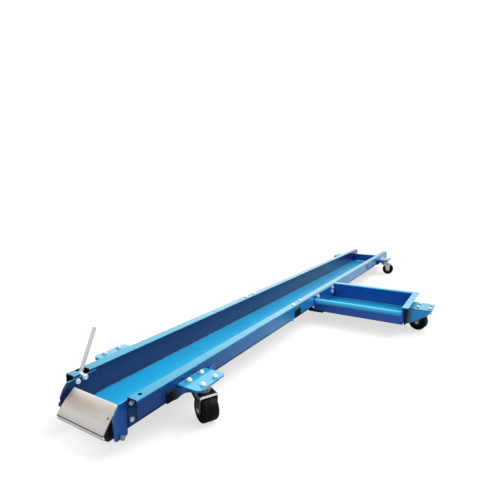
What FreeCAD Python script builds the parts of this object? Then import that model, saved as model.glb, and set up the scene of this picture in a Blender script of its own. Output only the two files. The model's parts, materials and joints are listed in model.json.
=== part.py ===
import FreeCAD, Part
import Sketcher
import math
import os

# Motorcycle mover dolly, millimetres, +Z up.
# The rail frame has X = 0 at the track's rear end, +X towards the front and +Y to the left.
# Its heights count from origin_z below the ground. Every sub-part is placed so that the
# finished model stands on Z = 0 with the middle of its box on the origin.

V = FreeCAD.Vector
doc = FreeCAD.newDocument("dolly")
sheet = doc.addObject("Spreadsheet::Sheet", "dims")


class Q:
    """A number that remembers the expression it came from."""

    def __init__(self, value, text):
        self.v = float(value)
        self.t = text

    def __add__(self, other):
        o = num(other)
        return Q(self.v + o.v, "(%s + %s)" % (self.t, o.t))

    def __radd__(self, other):
        return num(other) + self

    def __sub__(self, other):
        o = num(other)
        return Q(self.v - o.v, "(%s - %s)" % (self.t, o.t))

    def __rsub__(self, other):
        return num(other) - self

    def __mul__(self, other):
        o = num(other)
        return Q(self.v * o.v, "(%s * %s)" % (self.t, o.t))

    def __rmul__(self, other):
        return num(other) * self

    def __truediv__(self, other):
        o = num(other)
        return Q(self.v / o.v, "(%s / %s)" % (self.t, o.t))

    def __neg__(self):
        return Q(-self.v, "(0 - %s)" % self.t)


def num(x):
    return x if isinstance(x, Q) else Q(x, repr(float(x)))


DIMS = [
    # where the middle of the model's box lies in the rail frame
    ("origin_x", 1171.5), ("origin_y", -178.44), ("origin_z", 5),
    # track section
    ("half_inner", 90), ("flange_w", 30), ("sheet_t", 3), ("flange_top", 121.5),
    ("floor_top", 52.5), ("lip_bottom", 77.5), ("bend_out", 4.5), ("bend_in", 1.5),
    ("track_len", 2400), ("split_x", 850), ("split_gap", 0.8),
    # lever notch and flange holes
    ("notch_x0", 19), ("notch_x1", 45), ("notch_y", 114), ("notch_z", 113),
    ("flange_hole_x", 23), ("flange_hole_y", 105), ("flange_hole_r", 5),
    ("spare_hole_x", 1160), ("spare_hole_r", 3),
    # cheek plates
    ("cheek_t", 3.5), ("cheek_bolt_x", 8), ("cheek_bolt_z1", 105.5), ("cheek_bolt_z2", 68),
    # ramp
    ("ramp_half", 77), ("ramp_t", 3), ("ramp_top_x", -9), ("ramp_top_z", 101.5),
    ("ramp_crease_x", -57), ("ramp_crease_z", 56.5), ("ramp_lip_x", -54), ("ramp_lip_z", 46),
    ("ramp_crown_r", 190), ("ramp_crown_ri", 187), ("ramp_travel", 31),
    ("block_t", 12), ("guide_x", -19), ("guide_z", 39.5), ("guide_r", 6), ("guide_slot", 6.4), ("pin_r", 5.5), ("pin_len", 8), ("pin_flat", 2),
    ("stud_x", -8), ("stud_z", 77), ("stud_r", 4), ("stud_slot", 4.5),
    # lever
    ("pivot_x", 28), ("pivot_z", 109), ("lever_y", 106.3), ("lever_r", 5), ("lever_lean", 25),
    ("lever_reach", 119), ("hub_r", 8), ("hub_y0", 98), ("hub_y1", 111.4),
    ("crank_y0", 98.7), ("crank_t", 5), ("pivot_hole", 4.05),
    # caster brackets
    ("plate_top", 101), ("plate_t", 4), ("plate_len", 108), ("plate_w", 64.5), ("plate_corner", 11),
    ("gusset_t", 4), ("gusset_low", 72), ("wing", 40), ("bracket_bend", 26),
    ("axis_out", 32), ("pitch_x", 49), ("pitch_y", 41.5),
    ("rear_caster_x", 182), ("front_caster_x", 2187),
    ("tray_plate_w", 91), ("tray_axis_out", 60), ("tray_gusset_low", 42), ("tray_bracket_shift", 10),
    # casters
    ("wheel_r", 32.5), ("tread_w", 40), ("core_r", 23.5), ("core_w", 41), ("trail", 22),
    ("axle_r", 4), ("axle_bore", 4.05), ("fork_half", 24), ("fork_t", 3), ("fork_top", 86),
    ("fork_crown", 20), ("crown_top", 76.5), ("crown_boss", 21), ("fork_foot", 11), ("fork_nose", 37), ("nose_low", 70.5),
    ("rivet_r", 6.5), ("rivet_h", 2.6), ("base_len", 68), ("base_w", 63), ("base_t", 3),
    ("boss_r", 22), ("boss_z", 89), ("ring_r", 23), ("ring_in", 8), ("ring_gap", 0.3),
    ("king_r", 5), ("king_bore", 5.05), ("king_head_r", 10), ("king_head_t", 4),
    # kickstand tray
    ("tray_x0", 997), ("tray_x1", 1249), ("tray_out", 350), ("tray_sheet", 3), ("tray_low", 54), ("tray_front_z", 101),
    ("tray_flange", 22), ("tray_roll", 21), ("tray_bolt_x0", 1033), ("tray_bolt_x1", 1217),
    ("tray_bolt_z1", 88), ("tray_bolt_z2", 108),
    ("hook_y", -98), ("hook_t", 3), ("hook_reach", 40), ("hook_z", 74), ("hook_w", 40),
    # front wheel stop
    ("stop_x", 2309), ("stop_z", 100), ("stop_t", 3), ("stop_tab", 34),
    ("stop_bolt_x", 2328), ("stop_bolt_z1", 66), ("stop_bolt_z2", 86),
    # splice of the two track lengths
    ("splice_x0", 770), ("splice_x1", 930), ("splice_wall", 2.5), ("splice_bolt_a", 817),
    ("splice_bolt_b", 883), ("splice_y", 105), ("strap_x0", 803), ("strap_x1", 851), ("strap_z", 106),
    # fasteners
    ("shank_r", 4), ("clear_r", 4.3), ("head_r", 7.5), ("head_h", 5.3), ("nut_h", 6), ("thin_nut_h", 4.5), ("nut_bore", 4.2),
    ("washer_r", 8.5), ("washer_t", 1.6),
    ("m6_shank", 3), ("m6_clear", 3.3), ("m6_head_r", 5.8), ("m6_head_h", 4.2), ("m6_nut_h", 4), ("m6_bore", 3.2), ("pivot_head_r", 6.4),
]
for i, (alias, value) in enumerate(DIMS):
    sheet.set("A%d" % (i + 1), alias)
    sheet.set("B%d" % (i + 1), repr(float(value)))
    sheet.setAlias("B%d" % (i + 1), alias)
doc.recompute()
D = {}
for alias, value in DIMS:
    D[alias] = Q(value, "dims." + alias)

SUBPARTS = []


# ---------------------------------------------------------------- helpers

def at(x, y, z, angle=0.0, axis=V(0, 0, 1)):
    """A placement given in the rail frame."""
    return FreeCAD.Placement(V(num(x).v - D["origin_x"].v, num(y).v - D["origin_y"].v, num(z).v - D["origin_z"].v),
                             FreeCAD.Rotation(axis, angle))


def new_body(label, place):
    b = doc.addObject("PartDesign::Body", label)
    b.Label = label
    b.Placement = place
    SUBPARTS.append(b)
    return b


def new_sketch(b, plane, off=None):
    sk = b.newObject("Sketcher::SketchObject", b.Name + "_sketch")
    ref = [f for f in b.Origin.OriginFeatures if f.Role == plane][0]
    sk.AttachmentSupport = [(ref, "")]
    sk.MapMode = "FlatFace"
    if off is not None:
        off = num(off)
        sk.AttachmentOffset = FreeCAD.Placement(V(0, 0, off.v), FreeCAD.Rotation())
        sk.setExpression("AttachmentOffset.Base.z", off.t)
    return sk


def pin_point(sk, geo, pos, p):
    for kind, c, axis in (("DistanceX", num(p[0]), -2), ("DistanceY", num(p[1]), -1)):
        if abs(c.v) < 1e-9:
            sk.addConstraint(Sketcher.Constraint("PointOnObject", geo, pos, axis))
        else:
            n = sk.addConstraint(Sketcher.Constraint(kind, -1, 1, geo, pos, c.v))
            sk.setExpression("Constraints[%d]" % n, c.t)


def polygon(sk, pts):
    pts = [(num(a), num(b)) for a, b in pts]
    n = len(pts)
    geo = []
    for i in range(n):
        a, b = pts[i], pts[(i + 1) % n]
        geo.append(sk.addGeometry(Part.LineSegment(V(a[0].v, a[1].v, 0), V(b[0].v, b[1].v, 0)), False))
    for i in range(n):
        sk.addConstraint(Sketcher.Constraint("Coincident", geo[i], 2, geo[(i + 1) % n], 1))
    for i in range(n):
        pin_point(sk, geo[i], 1, pts[i])
    return geo


def rectangle(sk, x0, y0, x1, y1):
    return polygon(sk, [(x0, y0), (x1, y0), (x1, y1), (x0, y1)])


def circle(sk, x, y, r):
    x, y, r = num(x), num(y), num(r)
    g = sk.addGeometry(Part.Circle(V(x.v, y.v, 0), V(0, 0, 1), r.v), False)
    n = sk.addConstraint(Sketcher.Constraint("Radius", g, r.v))
    sk.setExpression("Constraints[%d]" % n, r.t)
    pin_point(sk, g, 3, (x, y))
    return g


def arc_profile(sk, pts, bulge):
    """A closed outline whose listed sides (index to radius) are arcs that bulge to the left of travel."""
    pts = [(num(a), num(b)) for a, b in pts]
    n = len(pts)
    geo = []
    ends = []
    for i in range(n):
        a, b = pts[i], pts[(i + 1) % n]
        if i in bulge:
            r, side = bulge[i]
            r = num(r)
            pa, pb = V(a[0].v, a[1].v, 0), V(b[0].v, b[1].v, 0)
            mid = (pa + pb) * 0.5
            chord = pb - pa
            nrm = V(-chord.y, chord.x, 0)
            nrm.normalize()
            half = chord.Length / 2
            sag = r.v - math.sqrt(r.v * r.v - half * half)
            arc = Part.Arc(pa, mid + nrm * (sag * side), pb)
            g = sk.addGeometry(arc, False)
            first = sk.getPoint(g, 1)
            ends.append((1, 2) if (first - pa).Length < 1e-6 else (2, 1))
            k = sk.addConstraint(Sketcher.Constraint("Radius", g, r.v))
            sk.setExpression("Constraints[%d]" % k, r.t)
        else:
            g = sk.addGeometry(Part.LineSegment(V(a[0].v, a[1].v, 0), V(b[0].v, b[1].v, 0)), False)
            ends.append((1, 2))
        geo.append(g)
    for i in range(n):
        j = (i + 1) % n
        sk.addConstraint(Sketcher.Constraint("Coincident", geo[i], ends[i][1], geo[j], ends[j][0]))
    for i in range(n):
        pin_point(sk, geo[i], ends[i][0], pts[i])
    return geo


def sound(b, f):
    """Stops at the first feature that fails, and makes the new one the body's result."""
    if f.Shape.isNull() or not f.Shape.isValid() or any(w in ("Invalid", "Error") for w in f.State):
        raise RuntimeError("%s of %s failed" % (f.TypeId, b.Label))
    b.Tip = f
    return f


def pad(b, sk, length, symmetric=False, reverse=False):
    doc.recompute()
    f = b.newObject("PartDesign::Pad", b.Name + "_pad")
    f.Profile = sk
    length = num(length)
    f.Length = length.v
    f.setExpression("Length", length.t)
    if symmetric:
        f.SideType = "Symmetric"
    f.Reversed = reverse
    doc.recompute()
    return sound(b, f)


def pocket(b, sk, length=None, symmetric=False, reverse=False):
    doc.recompute()
    before = b.Shape.Volume
    f = b.newObject("PartDesign::Pocket", b.Name + "_pocket")
    f.Profile = sk
    if length is None:
        f.Type = "ThroughAll"
    else:
        length = num(length)
        f.Length = length.v
        f.setExpression("Length", length.t)
    if symmetric:
        f.SideType = "Symmetric"
    f.Reversed = reverse
    doc.recompute()
    sound(b, f)
    if not b.Shape.Volume < before - 0.5:
        raise RuntimeError("a pocket of %s cuts nothing" % b.Label)
    return f


def fillet(b, radius, test):
    doc.recompute()
    base = b.Tip
    names = []
    for i, e in enumerate(base.Shape.Edges):
        if test(e):
            names.append("Edge%d" % (i + 1))
    if not names:
        raise RuntimeError("no edge to round on %s" % b.Label)
    f = b.newObject("PartDesign::Fillet", b.Name + "_fillet")
    f.Base = (base, names)
    radius = num(radius)
    f.Radius = radius.v
    f.setExpression("Radius", radius.t)
    doc.recompute()
    return sound(b, f)


def revolve(b, sk, axis="H_Axis"):
    doc.recompute()
    f = b.newObject("PartDesign::Revolution", b.Name + "_turn")
    f.Profile = sk
    f.ReferenceAxis = (sk, [axis])
    f.Angle = 360
    doc.recompute()
    return sound(b, f)


def straight(e, direction):
    """True for a straight edge along a direction."""
    if len(e.Vertexes) != 2 or e.Curve.TypeId != "Part::GeomLine":
        return False
    d = e.Vertexes[1].Point - e.Vertexes[0].Point
    d.normalize()
    return abs(abs(d.dot(direction)) - 1) < 1e-6


def near(e, x=None, y=None, z=None, tol=0.05):
    p = (e.Vertexes[0].Point + e.Vertexes[1].Point) * 0.5
    for c, w in ((p.x, x), (p.y, y), (p.z, z)):
        if w is not None and abs(c - w) > tol:
            return False
    return True


def corner_edges(direction, places, tol=0.05):
    """Edges along a direction that pass through any of the listed places."""
    def test(e):
        return straight(e, direction) and any(near(e, tol=tol, **p) for p in places)
    return test


AX, AY, AZ = V(1, 0, 0), V(0, 1, 0), V(0, 0, 1)
d = D
outer = d["half_inner"] + d["flange_w"]
under = d["plate_top"] - d["plate_t"]


# ---------------------------------------------------------------- track

def track(label, x0, length):
    """One length of the hat-section channel."""
    b = new_body(label, at(x0, 0, 0))
    a, s, t = d["half_inner"], d["sheet_t"], d["flange_top"]
    f, l = d["floor_top"], d["lip_bottom"]
    sk = new_sketch(b, "YZ_Plane")
    polygon(sk, [(outer - s, l), (outer, l), (outer, t), (a, t), (a, f), (-a, f), (-a, t), (-outer, t),
                 (-outer, l), (s - outer, l), (s - outer, t - s), (-a - s, t - s), (-a - s, f - s),
                 (a + s, f - s), (a + s, t - s), (outer - s, t - s)])
    pad(b, sk, length)
    big, small = [], []
    for sign in (1, -1):
        big += [dict(y=sign * outer.v, z=t.v), dict(y=sign * a.v, z=t.v),
                dict(y=sign * (a.v + s.v), z=f.v - s.v)]
        small += [dict(y=sign * (outer.v - s.v), z=t.v - s.v), dict(y=sign * (a.v + s.v), z=t.v - s.v),
                  dict(y=sign * a.v, z=f.v)]
    fillet(b, d["bend_out"], corner_edges(AX, big))
    fillet(b, d["bend_in"], corner_edges(AX, small))
    return b


def side_holes(b, x0, side, level, places, r, depth):
    """Round holes across the track, bored from one side. level is where the bore starts."""
    sk = new_sketch(b, "XZ_Plane", -num(level))
    for x, z in places:
        circle(sk, x - x0, z, r)
    # the sketch normal is -Y, so a plain pocket cuts towards +Y
    pocket(b, sk, depth, reverse=(side > 0))


def flange_holes(b, x0, places, r):
    sk = new_sketch(b, "XY_Plane", d["flange_top"] + 1)
    for x, y in places:
        circle(sk, x - x0, y, r)
    pocket(b, sk, 8)


rear = track("rear_track", 0, d["split_x"])
sk = new_sketch(rear, "XY_Plane", d["flange_top"] + 2)
rectangle(sk, d["notch_x0"], d["half_inner"] - 2, d["notch_x1"], d["notch_y"])
pocket(rear, sk, d["flange_top"] + 2 - d["notch_z"])
fillet(rear, 2.5, lambda e: straight(e, AZ) and abs(e.Vertexes[0].Point.y - d["notch_y"].v) < 0.05)
flange_holes(rear, 0, [(d["flange_hole_x"], -d["flange_hole_y"])], d["flange_hole_r"])
flange_holes(rear, 0, [(d["splice_bolt_a"], d["splice_y"]), (d["splice_bolt_a"], -d["splice_y"])], d["clear_r"])
cheek_holes = [(d["cheek_bolt_x"], d["cheek_bolt_z1"]), (d["cheek_bolt_x"], d["cheek_bolt_z2"])]
side_holes(rear, 0, 1, d["half_inner"] + 6, cheek_holes, d["m6_clear"], 9)
side_holes(rear, 0, 1, d["half_inner"] + 6, [(d["pivot_x"], d["pivot_z"])], d["clear_r"], 9)
side_holes(rear, 0, -1, -d["half_inner"] - 6, cheek_holes, d["m6_clear"], 9)

front_x = d["split_x"] + d["split_gap"]
front = track("front_track", front_x, d["track_len"] - front_x)
flange_holes(front, front_x, [(d["splice_bolt_b"], d["splice_y"]), (d["splice_bolt_b"], -d["splice_y"])], d["clear_r"])
flange_holes(front, front_x, [(d["spare_hole_x"], d["splice_y"]), (d["spare_hole_x"], -d["splice_y"])], d["spare_hole_r"])
tray_holes = [(d["tray_bolt_x0"], d["tray_bolt_z1"]), (d["tray_bolt_x1"], d["tray_bolt_z1"]),
              (d["tray_bolt_x0"], d["tray_bolt_z2"]), (d["tray_bolt_x1"], d["tray_bolt_z2"])]
side_holes(front, front_x, 1, outer + 2, tray_holes, d["clear_r"], 8)
side_holes(front, front_x, -1, -outer - 2, tray_holes, d["clear_r"], 8)
stop_holes = [(d["stop_bolt_x"], d["stop_bolt_z1"]), (d["stop_bolt_x"], d["stop_bolt_z2"])]
side_holes(front, front_x, 1, d["half_inner"] + 6, stop_holes, d["clear_r"], 9)
side_holes(front, front_x, -1, -d["half_inner"] - 6, stop_holes, d["clear_r"], 9)


# ---------------------------------------------------------------- splice of the two lengths

def splice(side, word):
    """Square tube inside the hollow side, and an angle strap under and outside the lip."""
    b = new_body("splice_tube_" + word, at(0, 0, 0))
    sk = new_sketch(b, "YZ_Plane", d["splice_x0"])
    y0, y1 = d["half_inner"] + d["sheet_t"] + 1.5, outer - d["sheet_t"] - 1.5
    z0, z1 = d["lip_bottom"], d["flange_top"] - d["sheet_t"]
    w = d["splice_wall"]
    if side > 0:
        ya, yb, yc, yd = y0, y1, y0 + w, y1 - w
    else:
        ya, yb, yc, yd = -y1, -y0, w - y1, -y0 - w
    rectangle(sk, ya, z0, yb, z1)
    rectangle(sk, yc, z0 + w, yd, z1 - w)
    pad(b, sk, d["splice_x1"] - d["splice_x0"])
    sk = new_sketch(b, "XY_Plane", d["flange_top"] + 1)
    for x in (d["splice_bolt_a"], d["splice_bolt_b"]):
        circle(sk, x, d["splice_y"] * side, d["clear_r"])
    pocket(b, sk)

    b = new_body("splice_strap_" + word, at(0, 0, 0))
    s = d["sheet_t"]
    sk = new_sketch(b, "YZ_Plane", d["strap_x0"])
    lb = d["lip_bottom"]
    inner_y = d["half_inner"] + 8
    pts = [(inner_y, lb - s), (outer + s, lb - s), (outer + s, d["strap_z"]), (outer, d["strap_z"]), (outer, lb), (inner_y, lb)]
    if side < 0:
        pts = [(-p[0], p[1]) for p in pts]
    polygon(sk, pts)
    pad(b, sk, d["strap_x1"] - d["strap_x0"])
    fillet(b, 2.5, corner_edges(AX, [dict(y=side * (outer.v + s.v), z=lb.v - s.v)]))
    fillet(b, 6, lambda e: straight(e, AY) and abs(e.Vertexes[0].Point.z - d["strap_z"].v) < 0.05)
    sk = new_sketch(b, "XY_Plane", lb + 1)
    circle(sk, d["splice_bolt_a"], d["splice_y"] * side, d["clear_r"])
    pocket(b, sk)


splice(1, "left")
splice(-1, "right")


# ---------------------------------------------------------------- cheek plates

def cheek(label, y_face, slot):
    """Plate on the channel side of a track wall that carries on behind the track's end."""
    b = new_body(label, at(0, y_face, 0))
    sk = new_sketch(b, "XZ_Plane")
    polygon(sk, [(62, 55), (62, 114), (-21, 114), (-30, 103), (-39, 86), (-38, 66), (-35, 38), (-31, 35), (-5, 35), (-0.7, 38), (-0.7, 55)])
    pad(b, sk, d["cheek_t"])
    sk = new_sketch(b, "XZ_Plane", 1)
    for x, z in cheek_holes:
        circle(sk, x, z, d["m6_clear"])
    circle(sk, d["guide_x"], d["guide_z"], d["clear_r"])
    if slot:
        circle(sk, d["pivot_x"], d["pivot_z"], d["clear_r"])
    pocket(b, sk, d["cheek_t"] * 3, symmetric=True)
    if slot:
        # upright slot that the lift stud travels in
        sk = new_sketch(b, "XZ_Plane", 1)
        low = d["stud_z"] - d["ramp_travel"]
        rectangle(sk, d["stud_x"] - d["stud_slot"], low - d["stud_slot"], d["stud_x"] + d["stud_slot"], d["stud_z"] + d["stud_slot"])
        pocket(b, sk, d["cheek_t"] * 3, symmetric=True)
        fillet(b, d["stud_slot"] - 0.3, lambda e: straight(e, AY)
               and abs(abs(e.Vertexes[0].Point.x - d["stud_x"].v) - d["stud_slot"].v) < 0.05
               and 40 < e.Vertexes[0].Point.z < 83)
    return b


wall_out = d["half_inner"] + d["sheet_t"]
cheek("cheek_plate_left", d["half_inner"], True)
cheek("cheek_plate_right", d["cheek_t"] - d["half_inner"], False)


# ---------------------------------------------------------------- ramp

b = new_body("ramp_flap", at(0, 0, 0))
sk = new_sketch(b, "XZ_Plane")
# top edge, crease and lip, then back along the underside
arc_profile(sk, [(d["ramp_top_x"], d["ramp_top_z"]), (d["ramp_crease_x"], d["ramp_crease_z"]),
                 (d["ramp_lip_x"], d["ramp_lip_z"]), (d["ramp_lip_x"] + 2.8, d["ramp_lip_z"] + 1),
                 (d["ramp_crease_x"] + 3.5, d["ramp_crease_z"] - 0.8), (d["ramp_top_x"] + 2.05, d["ramp_top_z"] - 2.2)],
            {0: (d["ramp_crown_r"], -1), 4: (d["ramp_crown_ri"], 1)})
pad(b, sk, d["ramp_half"] * 2, symmetric=True)
sk = new_sketch(b, "XY_Plane", d["ramp_top_z"] + 5)
circle(sk, -34, -68, 2.6)
pocket(b, sk)


def end_block(label, y_face):
    """Black end piece under the flap. It slides on the guide bolt."""
    b = new_body(label, at(0, y_face, 0))
    sk = new_sketch(b, "XZ_Plane")
    polygon(sk, [(-9, 94), (-16, 92.3), (-52, 56), (-50.3, 46), (-47, 40.5), (-41, 37), (-28, 37), (-9, 39), (-9, 58), (-2.5, 66), (-2.5, 86)])
    pad(b, sk, d["block_t"])
    fillet(b, 5, corner_edges(AY, [dict(x=-47, z=40.5), dict(x=-41, z=37)]))
    sk = new_sketch(b, "XZ_Plane", 1)
    rectangle(sk, d["guide_x"] - d["guide_slot"], 20, d["guide_x"] + d["guide_slot"], d["guide_z"] + d["ramp_travel"] + d["guide_slot"])
    pocket(b, sk, d["block_t"] * 3, symmetric=True)
    return b


left_block = end_block("ramp_end_block_left", d["ramp_half"])
right_block = end_block("ramp_end_block_right", d["block_t"] - d["ramp_half"])

b = new_body("ramp_lift_stud", at(d["stud_x"], 0, d["stud_z"]))
sk = new_sketch(b, "YZ_Plane")
# turned pin welded to the end block, with a retaining head outside the crank
polygon(sk, [(d["ramp_half"], 0), (d["ramp_half"], d["stud_r"]),
             (d["crank_y0"] + d["crank_t"] + 0.8, d["stud_r"]), (d["crank_y0"] + d["crank_t"] + 0.8, 6.2),
             (d["crank_y0"] + d["crank_t"] + 4, 6.2), (d["crank_y0"] + d["crank_t"] + 4, 0)])
revolve(b, sk)


# ---------------------------------------------------------------- release lever
# The crank's slot follows the stud exactly while the ramp drops in step with the lever,
# so its outline is worked out point by point from the sheet's values.

px, pz = d["pivot_x"].v, d["pivot_z"].v
rel0 = (d["stud_x"].v - px, d["stud_z"].v - pz)
rel1 = (rel0[0], rel0[1] - d["ramp_travel"].v)
swing = math.atan2(-rel1[1], -rel1[0]) - math.atan2(-rel0[1], -rel0[0])
rate = d["ramp_travel"].v / swing


def slot_path(angle):
    x, z = rel0[0], rel0[1] - rate * angle
    return V(px + x * math.cos(angle) + z * math.sin(angle), 0, pz - x * math.sin(angle) + z * math.cos(angle))


def slot_outline(r, over):
    n = 12
    path = [slot_path(-over + (swing + 2 * over) * i / n) for i in range(n + 1)]
    left, right = [], []
    for i, p in enumerate(path):
        a, c = path[max(i - 1, 0)], path[min(i + 1, n)]
        tan = c - a
        tan.normalize()
        nrm = V(-tan.z, 0, tan.x)
        left.append(p + nrm * r)
        right.append(p - nrm * r)
    t0 = path[0] - path[1]
    t0.normalize()
    t1 = path[n] - path[n - 1]
    t1.normalize()
    edges = [Part.LineSegment(left[i], left[i + 1]).toShape() for i in range(n)]
    edges.append(Part.Arc(left[n], path[n] + t1 * r, right[n]).toShape())
    edges += [Part.LineSegment(right[i + 1], right[i]).toShape() for i in range(n - 1, -1, -1)]
    edges.append(Part.Arc(right[0], path[0] + t0 * r, left[0]).toShape())
    return Part.Face(Part.Wire(edges))


def cranked_lever():
    y0, t = d["crank_y0"].v, d["crank_t"].v
    hub = Part.makeCylinder(d["hub_r"].v, d["hub_y1"].v - d["hub_y0"].v, V(px, d["hub_y0"].v, pz), AY)
    lean = math.radians(d["lever_lean"].v)
    up = V(math.sin(lean), 0, math.cos(lean))
    foot = V(px, d["lever_y"].v, pz)
    rod = Part.makeCylinder(d["lever_r"].v, d["lever_reach"].v, foot, up)
    tip = [e for e in rod.Edges if e.Curve.TypeId == "Part::GeomCircle" and (e.CenterOfMass - foot).Length > 60]
    rod = rod.makeFillet(1.6, tip)
    p0, p1 = slot_path(0), slot_path(swing)
    tan = p1 - p0
    tan.normalize()
    nrm = V(-tan.z, 0, tan.x)
    w = 8.5
    out = [V(px, 0, pz) + nrm * (d["hub_r"].v - 0.5), V(px, 0, pz) - nrm * (d["hub_r"].v - 0.5),
           p0 - nrm * w, p1 - nrm * w + tan * 3, p1 - nrm * 4 + tan * 7.6, p1 + nrm * 4 + tan * 7.6, p1 + nrm * w + tan * 3, p0 + nrm * w]
    plate = Part.Face(Part.makePolygon(out + [out[0]])).extrude(V(0, t, 0))
    plate.translate(V(0, y0, 0))
    slot = slot_outline(d["stud_r"].v + 0.45, 0.008).extrude(V(0, t + 4, 0))
    slot.translate(V(0, y0 - 2, 0))
    solid = hub.fuse([rod, plate]).cut(slot)
    solid = solid.cut(Part.makeCylinder(d["pivot_hole"].v, 60, V(px, 80, pz), AY))
    return solid.removeSplitter()


lever = doc.addObject("Part::Feature", "release_lever")
lever.Label = "release_lever"
shape = cranked_lever()
shape = shape.Solids[0] if len(shape.Solids) == 1 else shape
lever.Shape = shape
lever.Placement = at(0, 0, 0)
SUBPARTS.append(lever)


# ---------------------------------------------------------------- caster brackets

def bracket(label, place, plate_w, low, start, belly, side):
    """Top plate with two gussets that bend out into mounting wings. Y points away from what carries it."""
    b = new_body(label, place)
    half = d["plate_len"] / 2
    g = d["gusset_t"]
    # wings and gussets in plan, pressed from one sheet
    sk = new_sketch(b, "XY_Plane", low)
    for sgn in (1, -1):
        pts = [(half + d["wing"], 0), (half - g, 0), (half - g, plate_w - 7), (half, plate_w - 7), (half, g), (half + d["wing"], g)]
        polygon(sk, [(p[0] * sgn, p[1]) for p in pts])
    pad(b, sk, under - low)
    hv = half.v
    inner = [dict(x=s * hv, y=g.v) for s in (1, -1)]
    outer_c = [dict(x=s * (hv - g.v), y=0) for s in (1, -1)]
    fillet(b, d["bracket_bend"], corner_edges(AZ, inner))
    fillet(b, d["bracket_bend"] + g, corner_edges(AZ, outer_c))
    # underside of the gussets rises towards the outer end
    sk = new_sketch(b, "YZ_Plane")
    z_end = under - 5
    arc_profile(sk, [(start, low), (start, low - 5), (plate_w + 5, low - 5), (plate_w + 5, z_end), (plate_w - 4, z_end)],
                {4: (belly, side)})
    pocket(b, sk, 400, symmetric=True)
    # top plate
    sk = new_sketch(b, "XY_Plane", under)
    rectangle(sk, -half, 0, half, plate_w)
    pad(b, sk, d["plate_t"])
    fillet(b, d["plate_corner"], corner_edges(AZ, [dict(x=s * hv, y=num(plate_w).v, z=under.v + d["plate_t"].v / 2) for s in (1, -1)]))
    return b


def bracket_holes(b, axis_out):
    sk = new_sketch(b, "XY_Plane", d["plate_top"] + 1)
    for sx in (1, -1):
        for sy in (1, -1):
            circle(sk, d["pitch_x"] / 2 * sx, axis_out + d["pitch_y"] / 2 * sy, d["clear_r"])
    pocket(b, sk, d["plate_t"] + 2)


BRACKETS = [("rear_right", d["rear_caster_x"], -outer, 180), ("rear_left", d["rear_caster_x"], outer, 0),
            ("front_right", d["front_caster_x"], -outer, 180), ("front_left", d["front_caster_x"], outer, 0)]
for word, x, y, ang in BRACKETS:
    b = bracket("caster_bracket_" + word, at(x, y, 0, ang), d["plate_w"], d["gusset_low"], d["gusset_t"] + 3, 52, -1)
    bracket_holes(b, d["axis_out"])

tray_mid = (d["tray_x0"] + d["tray_x1"]) / 2
tray_end = -outer - d["tray_out"]
tray_caster_x = tray_mid + d["tray_bracket_shift"]
b = bracket("caster_bracket_tray", at(tray_caster_x, tray_end, 0, 180), d["tray_plate_w"], d["tray_gusset_low"], 15, 320, 1)
bracket_holes(b, d["tray_axis_out"])


# ---------------------------------------------------------------- kickstand tray

b = new_body("kickstand_tray", at(0, -outer, 0, 0))
s = d["tray_sheet"]
x0, x1 = d["tray_x0"], d["tray_x1"]
z0 = d["tray_low"]
zt = d["flange_top"]
zf = d["tray_front_z"]
# front wall with its edge rolled over, floor, back wall and its top flange, as one bent sheet
sk = new_sketch(b, "XZ_Plane")
roll = d["tray_roll"]
arc_profile(sk, [(x0, z0), (x1 + s, z0), (x1 + s, zt - s), (x1 + s + d["tray_flange"], zt - s), (x1 + s + d["tray_flange"], zt), (x1, zt),
                 (x1, z0 + s), (x0 + s, z0 + s), (x0 + s, zf - roll), (x0 + roll, zf - s), (x0 + 24, zf - s), (x0 + 24, zf - 14),
                 (x0 + 27, zf - 14), (x0 + 27, zf), (x0 + roll, zf), (x0, zf - roll)],
            {8: (roll - s, 1), 14: (roll, -1)})
pad(b, sk, d["tray_out"])
fillet(b, 5, corner_edges(AY, [dict(x=x0.v, z=z0.v), dict(x=x1.v + s.v, z=z0.v), dict(x=x1.v, z=zt.v), dict(x=x0.v + 27, z=zf.v)]))
fillet(b, 2, corner_edges(AY, [dict(x=x0.v + s.v, z=z0.v + s.v), dict(x=x1.v, z=z0.v + s.v), dict(x=x1.v + s.v, z=zt.v - s.v), dict(x=x0.v + 24, z=zf.v - s.v)]))
# outer end wall with a top flange
sk = new_sketch(b, "XZ_Plane", d["tray_out"] - s)
polygon(sk, [(x0, z0 + 5), (x0 + 5, z0), (x1 + s - 5, z0), (x1 + s, z0 + 5), (x1 + s, zt), (x0, zt)])
pad(b, sk, s)
sk = new_sketch(b, "XY_Plane", zt - s)
rectangle(sk, x0, s - d["tray_out"], x1 + s + d["tray_flange"], -d["tray_out"] - 20)
pad(b, sk, s)
fillet(b, 8, lambda e: straight(e, AZ) and abs(e.Vertexes[0].Point.y + d["tray_out"].v + 20) < 0.05)
# plate against the track's outer lip
sk = new_sketch(b, "XZ_Plane")
polygon(sk, [(x0, z0 + 5), (x0 + 5, z0), (x1 + s - 5, z0), (x1 + s, z0 + 5), (x1 + s, zt - 4), (x0, zt - 4)])
pad(b, sk, s)
# bolt holes to the track
sk = new_sketch(b, "XZ_Plane", -1)
for x, z in tray_holes:
    circle(sk, x, z, d["clear_r"])
pocket(b, sk, s + 2, reverse=True)


# ---------------------------------------------------------------- hooks under the tray

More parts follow.
